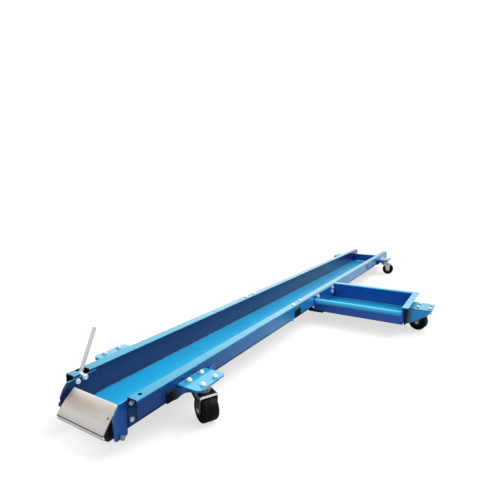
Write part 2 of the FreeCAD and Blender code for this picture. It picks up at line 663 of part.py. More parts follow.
def tray_hook(name, xa):
    """Bent strap that is welded under the tray's floor and hooks up behind the track's lip."""
    hook = doc.addObject("Part::Feature", name)
    y_in, z_low, t = d["hook_y"].v, z0.v - d["hook_t"].v, d["hook_t"].v
    y_out = -outer.v - d["hook_reach"].v
    pts = [(y_out, z_low), (y_in, z_low), (y_in, d["hook_z"].v), (y_in - t, d["hook_z"].v), (y_in - t, z_low + t), (y_out, z_low + t)]
    face = Part.Face(Part.makePolygon([V(xa, p[0], p[1]) for p in pts + pts[:1]]))
    solid = face.extrude(V(d["hook_w"].v, 0, 0))
    bend = [e for e in solid.Edges if straight(e, AX) and near(e, y=y_in, z=z_low)]
    hook.Shape = solid.makeFillet(3.5, bend)
    return hook


hooks = doc.addObject("Part::Compound", "tray_hooks")
hooks.Label = "tray_hooks"
hooks.Links = [tray_hook("tray_hook_a", x0.v - 4), tray_hook("tray_hook_b", x1.v + s.v - d["hook_w"].v)]
hooks.Placement = at(0, 0, 0)
SUBPARTS.append(hooks)


# ---------------------------------------------------------------- front wheel stop

b = new_body("front_wheel_stop", at(0, 0, 0))
st = d["stop_t"]
wi = d["half_inner"] - 0.3
sk = new_sketch(b, "XY_Plane", d["floor_top"] + 1.7)
polygon(sk, [(d["stop_x"], -wi), (d["stop_x"] + d["stop_tab"], -wi), (d["stop_x"] + d["stop_tab"], st - wi), (d["stop_x"] + st, st - wi),
             (d["stop_x"] + st, wi - st), (d["stop_x"] + d["stop_tab"], wi - st), (d["stop_x"] + d["stop_tab"], wi), (d["stop_x"], wi)])
pad(b, sk, d["stop_z"] - d["floor_top"] - 1.7)
fillet(b, 4, corner_edges(AZ, [dict(x=d["stop_x"].v, y=wi.v), dict(x=d["stop_x"].v, y=-wi.v)]))
fillet(b, 1, corner_edges(AZ, [dict(x=d["stop_x"].v + st.v, y=wi.v - st.v), dict(x=d["stop_x"].v + st.v, y=st.v - wi.v)]))
sk = new_sketch(b, "XY_Plane", d["stop_z"] - st)
rectangle(sk, d["stop_x"] + 2, 6 - wi, d["stop_x"] + 26, wi - 6)
pad(b, sk, st)
sk = new_sketch(b, "XZ_Plane")
for x, z in stop_holes:
    circle(sk, x, z, d["clear_r"])
pocket(b, sk, 400, symmetric=True)


# ---------------------------------------------------------------- casters

# swivel axis in the rail frame, and the way each wheel trails at rest
CASTERS = [("rear_right", d["rear_caster_x"], -outer - d["axis_out"], (-0.45, -0.893)),
           ("rear_left", d["rear_caster_x"], outer + d["axis_out"], (-0.62, 0.78)),
           ("front_right", d["front_caster_x"], -outer - d["axis_out"], (0.10, -0.995)),
           ("front_left", d["front_caster_x"], outer + d["axis_out"], (-0.86, 0.51)),
           ("tray", tray_caster_x, tray_end - d["tray_axis_out"], (0.20, 0.98))]

for word, x, y, trail in CASTERS:
    # mounting plate with its bearing boss
    b = new_body("caster_plate_" + word, at(x, y, 0))
    base_top = under
    base_low = under - d["base_t"]
    sk = new_sketch(b, "XY_Plane", base_low)
    rectangle(sk, -d["base_len"] / 2, -d["base_w"] / 2, d["base_len"] / 2, d["base_w"] / 2)
    pad(b, sk, d["base_t"])
    fillet(b, 7, lambda e: straight(e, AZ))
    sk = new_sketch(b, "XY_Plane", d["boss_z"])
    circle(sk, 0, 0, d["boss_r"])
    pad(b, sk, base_low - d["boss_z"])
    sk = new_sketch(b, "XY_Plane", base_top + 1)
    for sx in (1, -1):
        for sy in (1, -1):
            circle(sk, d["pitch_x"] / 2 * sx, d["pitch_y"] / 2 * sy, d["clear_r"])
    circle(sk, 0, 0, d["king_bore"])
    pocket(b, sk)

    # swivelling fork, trailing towards -X in its own frame
    turn = math.degrees(math.atan2(-trail[1], -trail[0]))
    b = new_body("caster_fork_" + word, at(x, y, 0, turn))
    sk = new_sketch(b, "XZ_Plane")
    c, ct, ft, tr, foot = d["fork_crown"], d["crown_top"], d["fork_top"], d["trail"], d["fork_foot"]
    az, fh, nose, n0 = d["origin_z"] + d["wheel_r"], d["fork_half"], d["fork_nose"], d["nose_low"]
    polygon(sk, [(c, ct), (-nose, ct), (-nose, n0), (-tr - foot, az + 4.5), (-tr - foot, az - foot),
                 (foot - tr, az - foot), (foot - tr, az + 4.5), (foot - tr + 3, az + 20), (c, ct - 8)])
    pad(b, sk, fh * 2, symmetric=True)
    fillet(b, foot - 0.3, corner_edges(AY, [dict(x=-tr.v - foot.v, z=az.v - foot.v), dict(x=foot.v - tr.v, z=az.v - foot.v)]))
    fillet(b, 4, corner_edges(AX, [dict(y=fh.v, z=ct.v), dict(y=-fh.v, z=ct.v)]))
    # room for the wheel, open below and behind, with the crown's front lip left standing
    sk = new_sketch(b, "XZ_Plane")
    t3 = d["fork_t"]
    polygon(sk, [(60, 0), (60, ct - t3), (t3 - nose, ct - t3), (t3 - nose, n0), (-60, n0), (-60, 0)])
    pocket(b, sk, (fh - t3) * 2, symmetric=True)
    # raised boss under the bearing, and the kingpin's bore
    sk = new_sketch(b, "XY_Plane", ct - 1)
    circle(sk, 0, 0, d["crown_boss"])
    pad(b, sk, ft - ct + 1)
    fillet(b, 2.5, lambda e: e.Curve.TypeId == "Part::GeomCircle" and abs(e.CenterOfMass.z - ft.v) < 0.05)
    sk = new_sketch(b, "XY_Plane", ft + 1)
    circle(sk, 0, 0, d["king_bore"])
    pocket(b, sk, ft - ct + t3 + 2)
    sk = new_sketch(b, "XZ_Plane")
    circle(sk, -tr, az, d["axle_r"] + 0.15)
    pocket(b, sk, 100, symmetric=True)

    # axle with a peened head at each end
    ax = doc.addObject("Part::Cylinder", "axle_shank_" + word)
    ax.setExpression("Radius", "dims.axle_r")
    ax.setExpression("Height", "dims.fork_half * 2 + dims.rivet_h * 2")
    ax.Placement = FreeCAD.Placement(V(0, 0, -d["fork_half"].v - d["rivet_h"].v), FreeCAD.Rotation())
    heads = []
    for sgn in (1, -1):
        hd = doc.addObject("Part::Cone", "axle_head_%s_%d" % (word, (sgn + 1) // 2))
        hd.setExpression("Radius1", "dims.rivet_r")
        hd.setExpression("Radius2", "dims.rivet_r - 2")
        hd.setExpression("Height", "dims.rivet_h")
        hd.Placement = FreeCAD.Placement(V(0, 0, sgn * d["fork_half"].v), FreeCAD.Rotation(AX, 0 if sgn > 0 else 180))
        heads.append(hd)
    pair = doc.addObject("Part::MultiFuse", "caster_axle_" + word)
    pair.Label = "caster_axle_" + word
    pair.Shapes = [ax] + heads
    # it is modelled along Z, and laid along the fork's cross axis at the wheel's centre
    spin = FreeCAD.Rotation(AZ, turn)
    centre = spin.multVec(V(-tr.v, 0, az.v))
    place = at(x, y, 0)
    pair.Placement = FreeCAD.Placement(place.Base + centre, spin.multiply(FreeCAD.Rotation(AX, -90)))
    SUBPARTS.append(pair)

    # wheel core, recessed on both faces, and the tyre around it
    wheel_at = FreeCAD.Placement(place.Base + centre, spin)
    b = new_body("caster_hub_" + word, wheel_at)
    sk = new_sketch(b, "YZ_Plane")
    cw, tw, cr = d["core_w"] / 2, d["tread_w"] / 2, d["core_r"]
    polygon(sk, [(-cw, d["axle_bore"]), (cw, d["axle_bore"]), (cw, 8.5), (tw - 7, 10), (tw - 7, cr - 5), (tw - 1, cr - 3.5), (tw - 1, cr),
                 (1 - tw, cr), (1 - tw, cr - 3.5), (7 - tw, cr - 5), (7 - tw, 10), (-cw, 8.5)])
    revolve(b, sk)
    b = new_body("caster_tyre_" + word, wheel_at)
    sk = new_sketch(b, "YZ_Plane")
    wrr = d["wheel_r"]
    polygon(sk, [(-tw, cr), (tw, cr), (tw, wrr - 5), (tw - 1.5, wrr - 2), (tw - 5, wrr), (5 - tw, wrr), (1.5 - tw, wrr - 2), (-tw, wrr - 5)])
    revolve(b, sk)


# kingpins and bearing rings, one of each per caster, kept as groups of separate solids

def king_group():
    solids, rings = [], []
    for word, x, y, trail in CASTERS:
        o = V(num(x).v, num(y).v, 0)
        top = under.v - 0.2
        crown_low = d["crown_top"].v - d["fork_t"].v
        head_top = crown_low - d["ring_gap"].v
        pin = Part.makeCylinder(d["king_r"].v, top - head_top + 0.5, o + V(0, 0, head_top - 0.5), AZ)
        head = Part.makeCylinder(d["king_head_r"].v, d["king_head_t"].v, o + V(0, 0, head_top - d["king_head_t"].v), AZ)
        head = head.makeFillet(1.2, [e for e in head.Edges if e.Curve.TypeId == "Part::GeomCircle" and e.CenterOfMass.z < head_top - 1])
        solids.append(pin.fuse(head).removeSplitter())
        low = d["fork_top"].v + d["ring_gap"].v
        ring = Part.makeCylinder(d["ring_r"].v, d["boss_z"].v - low, o + V(0, 0, low), AZ)
        ring = ring.cut(Part.makeCylinder(d["ring_in"].v, 20, o + V(0, 0, low - 5), AZ))
        rings.append(ring)
    return solids, rings


pins, rings = king_group()
for label, group in (("caster_kingpins", pins), ("swivel_bearing_rings", rings)):
    f = doc.addObject("Part::Feature", label)
    f.Label = label
    f.Shape = Part.makeCompound(group)
    f.Placement = at(0, 0, 0)
    SUBPARTS.append(f)


# ---------------------------------------------------------------- fasteners

COUNT = [0]


def bolt_piece(pos, direction, length, head_h="dims.head_h", washer=False, shank_r="dims.shank_r", head_r="dims.head_r"):
    """Hex bolt: head outside pos, shank from pos along the direction."""
    COUNT[0] += 1
    n = COUNT[0]
    rot = FreeCAD.Rotation(AZ, direction)
    shank = doc.addObject("Part::Cylinder", "shank%d" % n)
    shank.setExpression("Radius", shank_r)
    length = num(length)
    shank.Height = length.v
    shank.setExpression("Height", length.t)
    head = doc.addObject("Part::Prism", "head%d" % n)
    head.Polygon = 6
    head.setExpression("Circumradius", head_r)
    head.setExpression("Height", head_h)
    doc.recompute()
    head.Placement = FreeCAD.Placement(V(0, 0, -float(head.Height)), FreeCAD.Rotation())
    parts = [shank, head]
    if washer:
        disc = doc.addObject("Part::Cylinder", "washer%d" % n)
        disc.setExpression("Radius", "dims.washer_r")
        disc.setExpression("Height", "dims.washer_t")
        head.Placement = FreeCAD.Placement(V(0, 0, -float(head.Height) - d["washer_t"].v), FreeCAD.Rotation())
        disc.Placement = FreeCAD.Placement(V(0, 0, -d["washer_t"].v), FreeCAD.Rotation())
        parts.append(disc)
    f = doc.addObject("Part::MultiFuse", "bolt%d" % n)
    f.Shapes = parts
    f.Placement = FreeCAD.Placement(pos, rot)
    return f


def nut_piece(pos, direction, height="dims.nut_h", across="dims.head_r", bore="dims.nut_bore"):
    """Hex nut that sits on pos and stands along the direction."""
    COUNT[0] += 1
    n = COUNT[0]
    body = doc.addObject("Part::Prism", "nutbody%d" % n)
    body.Polygon = 6
    body.setExpression("Circumradius", across)
    body.setExpression("Height", height)
    hole = doc.addObject("Part::Cylinder", "nuthole%d" % n)
    hole.setExpression("Radius", bore)
    hole.Height = 30
    hole.Placement = FreeCAD.Placement(V(0, 0, -10), FreeCAD.Rotation())
    f = doc.addObject("Part::Cut", "nut%d" % n)
    f.Base = body
    f.Tool = hole
    f.Placement = FreeCAD.Placement(pos, FreeCAD.Rotation(AZ, direction))
    return f


def group(label, pieces):
    g = doc.addObject("Part::Compound", label)
    g.Label = label
    g.Links = pieces
    g.Placement = at(0, 0, 0)
    SUBPARTS.append(g)
    return g


def p3(x, y, z):
    return V(num(x).v, num(y).v, num(z).v)


# four bolts and nuts hold each caster plate to its bracket: heads below, nuts on top
bolts, nuts = [], []
grip = d["base_t"] + d["plate_t"]
for word, x, y, trail in CASTERS:
    for sx in (1, -1):
        for sy in (1, -1):
            bx, by = x + d["pitch_x"] / 2 * sx, y + d["pitch_y"] / 2 * sy
            bolts.append(bolt_piece(p3(bx, by, under - d["base_t"]), AZ, grip + d["nut_h"] + 1.5, head_h="dims.head_h - 1.5"))
            nuts.append(nut_piece(p3(bx, by, d["plate_top"]), AZ))
group("caster_bolts", bolts)
group("caster_nuts", nuts)

# tray to the track's lip
pieces = []
for x, z in tray_holes:
    pieces.append(bolt_piece(p3(x, -outer - d["tray_sheet"], z), AY, 16))
    pieces.append(nut_piece(p3(x, d["sheet_t"] - outer, z), AY))
group("tray_bolts", pieces)

# cheek plates to the track walls, heads inside the channel
pieces = []
for sgn in (1, -1):
    for x, z in cheek_holes:
        pieces.append(bolt_piece(p3(x, (d["half_inner"] - d["cheek_t"]) * sgn, z), V(0, sgn, 0), 11, head_h="dims.m6_head_h", shank_r="dims.m6_shank", head_r="dims.m6_head_r"))
        pieces.append(nut_piece(p3(x, wall_out * sgn, z), V(0, sgn, 0), "dims.m6_nut_h", "dims.m6_head_r", "dims.m6_bore"))
group("cheek_bolts", pieces)

# front stop to the track walls
pieces = []
for sgn in (1, -1):
    for x, z in stop_holes:
        pieces.append(bolt_piece(p3(x, (wi - st) * sgn, z), V(0, sgn, 0), 15))
        pieces.append(nut_piece(p3(x, wall_out * sgn, z), V(0, sgn, 0)))
group("front_stop_bolts", pieces)

# upright splice bolts through flange and tube, with nuts below
pieces = []
for sgn in (1, -1):
    for x, low, end in ((d["splice_bolt_a"], d["lip_bottom"] - d["sheet_t"], 12), (d["splice_bolt_b"], d["lip_bottom"], 4)):
        pieces.append(bolt_piece(p3(x, d["splice_y"] * sgn, d["flange_top"]), V(0, 0, -1), d["flange_top"] - low + d["nut_h"] + end, head_h="dims.head_h - 2"))
        pieces.append(nut_piece(p3(x, d["splice_y"] * sgn, low), V(0, 0, -1)))
group("splice_bolts", pieces)

# guide bolts of the ramp: a sleeve inside the cheek, a round pin end outside it
pieces = []
for sgn, word in ((1, "left"), (-1, "right")):
    sleeve = doc.addObject("Part::Cylinder", "guide_sleeve_" + word)
    sleeve.setExpression("Radius", "dims.guide_r")
    sleeve.setExpression("Height", "dims.half_inner - dims.cheek_t - dims.ramp_half + dims.block_t - 1")
    stem = doc.addObject("Part::Cylinder", "guide_stem_" + word)
    stem.setExpression("Radius", "dims.shank_r")
    stem.setExpression("Height", "dims.cheek_t + 2")
    stem.Placement = FreeCAD.Placement(V(0, 0, -d["cheek_t"].v - 1), FreeCAD.Rotation())
    head = doc.addObject("Part::Cylinder", "guide_head_" + word)
    head.setExpression("Radius", "dims.pin_r")
    # the left end is riveted flat, the right one stands out
    end = "pin_len" if word == "right" else "pin_flat"
    head.setExpression("Height", "dims." + end)
    head.Placement = FreeCAD.Placement(V(0, 0, -d["cheek_t"].v - d[end].v), FreeCAD.Rotation())
    f = doc.addObject("Part::MultiFuse", "guide_bolt_" + word)
    f.Shapes = [sleeve, stem, head]
    f.Placement = FreeCAD.Placement(p3(d["guide_x"], (d["half_inner"] - d["cheek_t"]) * sgn, d["guide_z"]), FreeCAD.Rotation(AZ, V(0, -sgn, 0)))
    pieces.append(f)
group("ramp_guide_bolts", pieces)

# pivot bolt of the lever and its thin nut
pivot = doc.addObject("Part::Cylinder", "pivot_shank")
pivot.setExpression("Radius", "dims.shank_r")
pivot.setExpression("Height", "dims.hub_y1 + 5.2 - dims.half_inner + dims.cheek_t")
head = doc.addObject("Part::Prism", "pivot_head")
head.Polygon = 6
head.setExpression("Circumradius", "dims.pivot_head_r")
head.setExpression("Height", "dims.head_h")
head.Placement = FreeCAD.Placement(V(0, 0, -d["head_h"].v), FreeCAD.Rotation())
space = doc.addObject("Part::Cylinder", "pivot_spacer")
space.Radius = 6.5
space.setExpression("Height", "dims.hub_y0 - 0.2 - dims.half_inner - dims.sheet_t")
space.Placement = FreeCAD.Placement(V(0, 0, d["sheet_t"].v + d["cheek_t"].v), FreeCAD.Rotation())
f = doc.addObject("Part::MultiFuse", "pivot_bolt_body")
f.Shapes = [pivot, head, space]
f.Placement = FreeCAD.Placement(p3(d["pivot_x"], d["half_inner"] - d["cheek_t"], d["pivot_z"]), FreeCAD.Rotation(AZ, AY))
nb = doc.addObject("Part::Prism", "pivot_nut_body")
nb.Polygon = 6
nb.setExpression("Circumradius", "dims.head_r")
nb.setExpression("Height", "dims.thin_nut_h")
nh = doc.addObject("Part::Cylinder", "pivot_nut_hole")
nh.setExpression("Radius", "dims.nut_bore")
nh.Height = 30
nh.Placement = FreeCAD.Placement(V(0, 0, -10), FreeCAD.Rotation())
n = doc.addObject("Part::Cut", "pivot_nut")
n.Base = nb
n.Tool = nh
n.Placement = FreeCAD.Placement(p3(d["pivot_x"], d["hub_y1"] + 0.4, d["pivot_z"]), FreeCAD.Rotation(AZ, AY))
group("lever_pivot_bolt", [f, n])


# ---------------------------------------------------------------- check and write

doc.recompute()
bad = []
for o in doc.Objects:
    if any(w in ("Invalid", "Error") for w in o.State):
        bad.append((o.Label, o.State))
for o in SUBPARTS:
    if o.Shape.isNull() or not o.Shape.isValid() or not o.Shape.Solids:
        bad.append((o.Label, "shape"))
if bad:
    raise RuntimeError("failed objects: %s" % bad)
if len(set(o.Label for o in SUBPARTS)) != len(SUBPARTS):
    raise RuntimeError("two sub-parts share a label")

os.makedirs("parts", exist_ok=True)
for old in os.listdir("parts"):
    if old.endswith(".step"):
        os.remove(os.path.join("parts", old))
box = FreeCAD.BoundBox()
for o in SUBPARTS:
    o.Shape.exportStep(os.path.join("parts", o.Label + ".step"))
    box.add(o.Shape.BoundBox)
    print("%-28s solids %2d  volume %9.0f" % (o.Label, len(o.Shape.Solids), o.Shape.Volume))
print("nodes", len(SUBPARTS))
print("box", [round(c, 3) for c in (box.XMin, box.YMin, box.ZMin, box.XMax, box.YMax, box.ZMax)])
print("lever swing degrees", round(math.degrees(swing), 4), "ramp metres per radian", round(rate / 1000, 6))
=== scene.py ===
import bpy
import bmesh
import json
import math
from mathutils import Matrix, Vector


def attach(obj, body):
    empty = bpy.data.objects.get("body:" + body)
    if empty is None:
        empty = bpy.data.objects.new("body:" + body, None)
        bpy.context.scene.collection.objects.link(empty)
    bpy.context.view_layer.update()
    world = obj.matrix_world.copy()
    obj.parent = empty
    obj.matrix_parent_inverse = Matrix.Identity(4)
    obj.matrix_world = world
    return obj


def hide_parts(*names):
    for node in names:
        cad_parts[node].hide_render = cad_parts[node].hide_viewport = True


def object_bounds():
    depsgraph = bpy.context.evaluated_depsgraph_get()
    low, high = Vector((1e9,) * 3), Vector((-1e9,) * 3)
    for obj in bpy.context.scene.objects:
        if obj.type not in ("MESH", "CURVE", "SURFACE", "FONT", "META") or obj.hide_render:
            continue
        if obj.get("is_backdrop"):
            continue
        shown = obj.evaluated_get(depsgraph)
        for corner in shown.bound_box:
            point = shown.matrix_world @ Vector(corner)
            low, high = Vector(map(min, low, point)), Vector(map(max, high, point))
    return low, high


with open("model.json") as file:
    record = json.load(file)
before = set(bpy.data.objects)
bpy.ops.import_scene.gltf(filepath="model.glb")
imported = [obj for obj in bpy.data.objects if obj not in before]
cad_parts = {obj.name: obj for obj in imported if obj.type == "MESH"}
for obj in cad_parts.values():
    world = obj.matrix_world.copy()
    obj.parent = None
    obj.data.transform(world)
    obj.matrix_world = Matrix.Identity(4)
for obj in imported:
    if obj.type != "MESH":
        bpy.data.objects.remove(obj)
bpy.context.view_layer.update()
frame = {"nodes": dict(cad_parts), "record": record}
NODES = frame["nodes"]
SLOT_OF = {s["node"]: s["material_slot"] for s in frame["record"]["subparts"]}
scene = bpy.context.scene
scene.view_settings.view_transform = "Standard"
scene.view_settings.look = "None"

# The rail frame of the construction, in millimetres: X = 0 at the track's rear end,
# Y = 0 on its middle line, and heights that count from 5 mm below the ground.
OX, OY, OZ = 1171.5, -178.44, 5.0


def R(x, y, z):
    return Vector(((x - OX) / 1000, (y - OY) / 1000, (z - OZ) / 1000))


# ------------------------------------------------------------------ materials

class Nodes:
    """Small helper that writes a material's node tree."""

    def __init__(self, name):
        self.mat = bpy.data.materials.new(name)
        self.mat.use_nodes = True
        self.t = self.mat.node_tree
        self.t.nodes.clear()
        self.out = self.t.nodes.new("ShaderNodeOutputMaterial")
        self.b = self.t.nodes.new("ShaderNodeBsdfPrincipled")
        self.link(self.b.outputs[0], self.out.inputs[0])
        self.co = self.t.nodes.new("ShaderNodeTexCoord").outputs["Object"]

    def link(self, a, b):
        self.t.links.new(a, b)

    def set(self, **values):
        for k, v in values.items():
            self.b.inputs[k.replace("_", " ")].default_value = v

    def mapped(self, scale, rot=(0, 0, 0), source=None):
        m = self.t.nodes.new("ShaderNodeMapping")
        m.inputs["Scale"].default_value = scale
        m.inputs["Rotation"].default_value = rot
        self.link(source or self.co, m.inputs["Vector"])
        return m.outputs[0]

    def noise(self, scale, detail=3.0, rough=0.5, source=None, distortion=0.0):
        n = self.t.nodes.new("ShaderNodeTexNoise")
        n.inputs["Scale"].default_value = scale
        n.inputs["Detail"].default_value = detail
        n.inputs["Roughness"].default_value = rough
        n.inputs["Distortion"].default_value = distortion
        self.link(source or self.co, n.inputs["Vector"])
        return n.outputs["Fac"]

    def voronoi(self, scale, source=None, out="Distance", feature="F1"):
        n = self.t.nodes.new("ShaderNodeTexVoronoi")
        n.feature = feature
        n.inputs["Scale"].default_value = scale
        self.link(source or self.co, n.inputs["Vector"])
        return n.outputs[out]

    def remap(self, fac, a, b, c, d):
        n = self.t.nodes.new("ShaderNodeMapRange")
        for k, v in (("From Min", a), ("From Max", b), ("To Min", c), ("To Max", d)):
            n.inputs[k].default_value = v
        self.link(fac, n.inputs["Value"])
        return n.outputs[0]

    def math(self, op, a, b=None):
        n = self.t.nodes.new("ShaderNodeMath")
        n.operation = op
        for i, v in enumerate((a, b)):
            if v is None:
                continue
            if isinstance(v, (int, float)):
                n.inputs[i].default_value = v
            else:
                self.link(v, n.inputs[i])
        return n.outputs[0]

    def mix(self, fac, a, b, mode="MIX"):
        n = self.t.nodes.new("ShaderNodeMix")
        n.data_type = "RGBA"
        n.blend_type = mode
        for sock, v in ((n.inputs[0], fac), (n.inputs[6], a), (n.inputs[7], b)):
            if isinstance(v, (int, float)):
                sock.default_value = v
            elif isinstance(v, tuple):
                sock.default_value = (v[0], v[1], v[2], 1)
            else:
                self.link(v, sock)
        return n.outputs[2]

    def axis(self, which):
        n = self.t.nodes.new("ShaderNodeSeparateXYZ")
        self.link(self.co, n.inputs[0])
        return n.outputs[which]

    def rail_y(self):
        """Distance from the track's middle line, in metres."""
        return self.math("ABSOLUTE", self.math("ADD", self.axis(1), OY / 1000))

    def band(self, v, low, high, soft):
        """One between low and high, zero outside, with soft ends."""
        return self.math("MULTIPLY", self.remap(v, low - soft, low, 0, 1), self.remap(v, high, high + soft, 1, 0))

    def bump(self, height, strength, distance, normal=None):
        n = self.t.nodes.new("ShaderNodeBump")
        n.inputs["Strength"].default_value = strength
        n.inputs["Distance"].default_value = distance
        self.link(height, n.inputs["Height"])
        if normal is not None:
            self.link(normal, n.inputs["Normal"])
        return n.outputs[0]

    def soft_edges(self, radius):
        n = self.t.nodes.new("ShaderNodeBevel")
        n.samples = 4
        n.inputs["Radius"].default_value = radius
        return n.outputs[0]

    def edge_mask(self, bevel):
        """Where the rounded normal leaves the flat one, which is along edges."""
        g = self.t.nodes.new("ShaderNodeNewGeometry")
        n = self.t.nodes.new("ShaderNodeVectorMath")
        n.operation = "DOT_PRODUCT"
        self.link(g.outputs["Normal"], n.inputs[0])
        self.link(bevel, n.inputs[1])
        return self.remap(n.outputs["Value"], 0.985, 0.86, 0, 1)


def paint(name, side, top, edge, metal, coat, rough=(0.26, 0.34), soft=0.0011, dark=None, bend_shade=False, deep=None, outer=None, rim=None, inner=None):
    """Gloss powder coat: slight orange peel and cloudy tone, with painted light: paler and greener on faces
    that look up (a painted lit tone), darker on upright faces (painted shade), a painted highlight along edges.
    dark(m) may give a mask of painted shade in near black. deep is the channel floor's painted lit tone,
    outer the outer lips' tones, a painted shade deepening towards the rear, rim the lighter painted tone of a bracket
    plate's rim, inner the painted shade on the channel side of a right cheek."""
    m = Nodes(name)
    g = m.t.nodes.new("ShaderNodeNewGeometry")
    sep = m.t.nodes.new("ShaderNodeSeparateXYZ")
    m.link(g.outputs["Normal"], sep.inputs[0])
    cloud = m.noise(5, 3, 0.5)
    fine = m.noise(260, 2, 0.5)
    tone = m.remap(m.math("ADD", m.math("MULTIPLY", cloud, 0.7), m.math("MULTIPLY", fine, 0.3)), 0.32, 0.68, 0.92, 1.08)
    up = m.remap(sep.outputs[2], 0.10, 0.90, 0, 1)
    if rim:
        # painted light only on the plate: its faces that look up take the lit top tone and its rim the lighter rim
        # tone; the wings beside the plate keep the shaded upright tone on their top edges too
        reach = None
        for c in (182, 1133, 2187):
            off = m.math("ABSOLUTE", m.math("SUBTRACT", m.axis(0), (c - OX) / 1000))
            reach = off if reach is None else m.math("MINIMUM", reach, off)
        plate = m.math("MULTIPLY", m.math("LESS_THAN", reach, 0.0545), m.remap(m.axis(2), (96.7 - OZ) / 1000, (97.0 - OZ) / 1000, 0, 1))
        side = m.mix(plate, side, rim)
        up = m.math("MULTIPLY", up, plate)
    if inner:
        # painted shade on the cheek's channel side
        side = m.mix(m.math("GREATER_THAN", m.axis(1), (-86.9 - OY) / 1000), side, inner)
    if outer:
        # painted shade: the outer lips' upright faces darken towards the rear
        along = m.mix(m.remap(m.axis(0), (60 - OX) / 1000, (900 - OX) / 1000, 0, 1), outer[0], outer[1])
        lip = m.math("GREATER_THAN", m.rail_y(), 0.0918)
        side = m.mix(lip, side, along)
    if deep:
        # the channel floor's faces that look up take a brighter lit tone, painted light
        low = m.math("MULTIPLY", m.math("LESS_THAN", m.rail_y(), 0.0905), m.math("LESS_THAN", m.axis(2), (58 - OZ) / 1000))
        top = m.mix(low, top, deep)
    # painted light: faces that look up take the lit top tone, upright faces the shaded side tone
    col = m.mix(up, side, top)
    shade = m.t.nodes.new("ShaderNodeVectorMath")
    shade.operation = "SCALE"
    m.link(col, shade.inputs[0])
    m.link(tone, shade.inputs["Scale"])
    col = shade.outputs[0]
    nrm = None
    if soft:
        nrm = m.soft_edges(soft)
        # painted highlight along the edges
        col = m.mix(m.math("MULTIPLY", m.edge_mask(nrm), 0.45), col, edge)
    if bend_shade:
        # painted shade, a little patchy, in the two bends along the channel's floor; there the coat is taken away
        corner = m.math("MULTIPLY", m.band(m.rail_y(), 0.0872, 0.0901, 0.0012), m.remap(m.axis(2), (55.5 - OZ) / 1000, (53.2 - OZ) / 1000, 0, 1))
        corner = m.math("MULTIPLY", corner, m.remap(m.noise(30, 4, 0.6), 0.3, 0.7, 0.75, 1.0))
        col = m.mix(corner, col, (0.004, 0.03, 0.10))
        gloss = m.remap(corner, 0, 1, coat, 0.0)
    else:
        gloss = None
        m.set(Coat_Weight=coat)
    if dark:
        # painted shade in near black where the mask lies, with no metal and little coat
        mask = dark(m)
        col = m.mix(mask, col, (0.003, 0.004, 0.007))
        m.link(m.remap(mask, 0, 1, metal, 0.0), m.b.inputs["Metallic"])
        dull = m.remap(mask, 0, 1, 1.0 if gloss else coat, 0.1)
        gloss = m.math("MULTIPLY", gloss, dull) if gloss else dull
    else:
        m.set(Metallic=metal)
    m.link(col, m.b.inputs["Base Color"])
    if outer and gloss:
        # the outer lips are less glossy towards the rear
        dull = m.math("MULTIPLY", lip, m.remap(m.axis(0), (60 - OX) / 1000, (700 - OX) / 1000, 0.6, 0))
        gloss = m.math("MULTIPLY", gloss, m.math("SUBTRACT", 1.0, dull))
    if gloss:
        m.link(gloss, m.b.inputs["Coat Weight"])
    m.set(Coat_Roughness=0.07, Coat_IOR=1.34, IOR=1.25)
    m.link(m.remap(m.noise(18, 4, 0.6), 0.3, 0.7, rough[0], rough[1]), m.b.inputs["Roughness"])
    peel = m.math("ADD", m.math("MULTIPLY", m.noise(420, 2, 0.45), 0.5), m.noise(90, 2, 0.4))
    nrm = m.bump(peel, 0.02, 0.0005, nrm)
    m.link(nrm, m.b.inputs["Normal"])
    m.link(nrm, m.b.inputs["Coat Normal"])
    return m.mat


def hollow(m):
    """Painted shade in near black on the inner faces of the rail's boxed sides, away from the right rear end."""
    y = m.rail_y()
    inside = m.math("MULTIPLY", m.math("GREATER_THAN", y, 0.0922), m.math("LESS_THAN", y, 0.1178))
    inside = m.math("MULTIPLY", inside, m.math("LESS_THAN", m.axis(2), (119.3 - OZ) / 1000))
    left = m.math("GREATER_THAN", m.axis(1), -OY / 1000)
    deep = m.remap(m.axis(0), (18 - OX) / 1000, (40 - OX) / 1000, 0, 1)
    return m.math("MULTIPLY", inside, m.math("MAXIMUM", left, deep))


def wings(m):
    """Painted shade in near black on the rear wing of each track bracket, fading out over its bend."""
    x = m.axis(0)
    rear = m.math("LESS_THAN", x, (136 - OX) / 1000)
    front = m.math("MULTIPLY", m.math("GREATER_THAN", x, (2050 - OX) / 1000), m.math("LESS_THAN", x, (2141 - OX) / 1000))
    near = m.remap(m.rail_y(), 0.1246, 0.1400, 1, 0)
    beside = m.math("MAXIMUM", m.math("LESS_THAN", x, (127.4 - OX) / 1000), m.math("MULTIPLY", front, m.math("LESS_THAN", x, (2132.4 - OX) / 1000)))
    low = m.math("MAXIMUM", beside, m.remap(m.axis(2), (97.0 - OZ) / 1000, (96.7 - OZ) / 1000, 0, 1))
    return m.math("MULTIPLY", m.math("MULTIPLY", m.math("MAXIMUM", rear, front), near), low)


def tray_wing(m):
    """The same on the tray's bracket."""
    rear = m.math("LESS_THAN", m.axis(0), (1087 - OX) / 1000)
    near = m.remap(m.rail_y(), 0.4750, 0.4960, 1, 0)
    low = m.math("MAXIMUM", m.math("LESS_THAN", m.axis(0), (1078.4 - OX) / 1000), m.remap(m.axis(2), (97.0 - OZ) / 1000, (96.7 - OZ) / 1000, 0, 1))
    return m.math("MULTIPLY", m.math("MULTIPLY", rear, near), low)


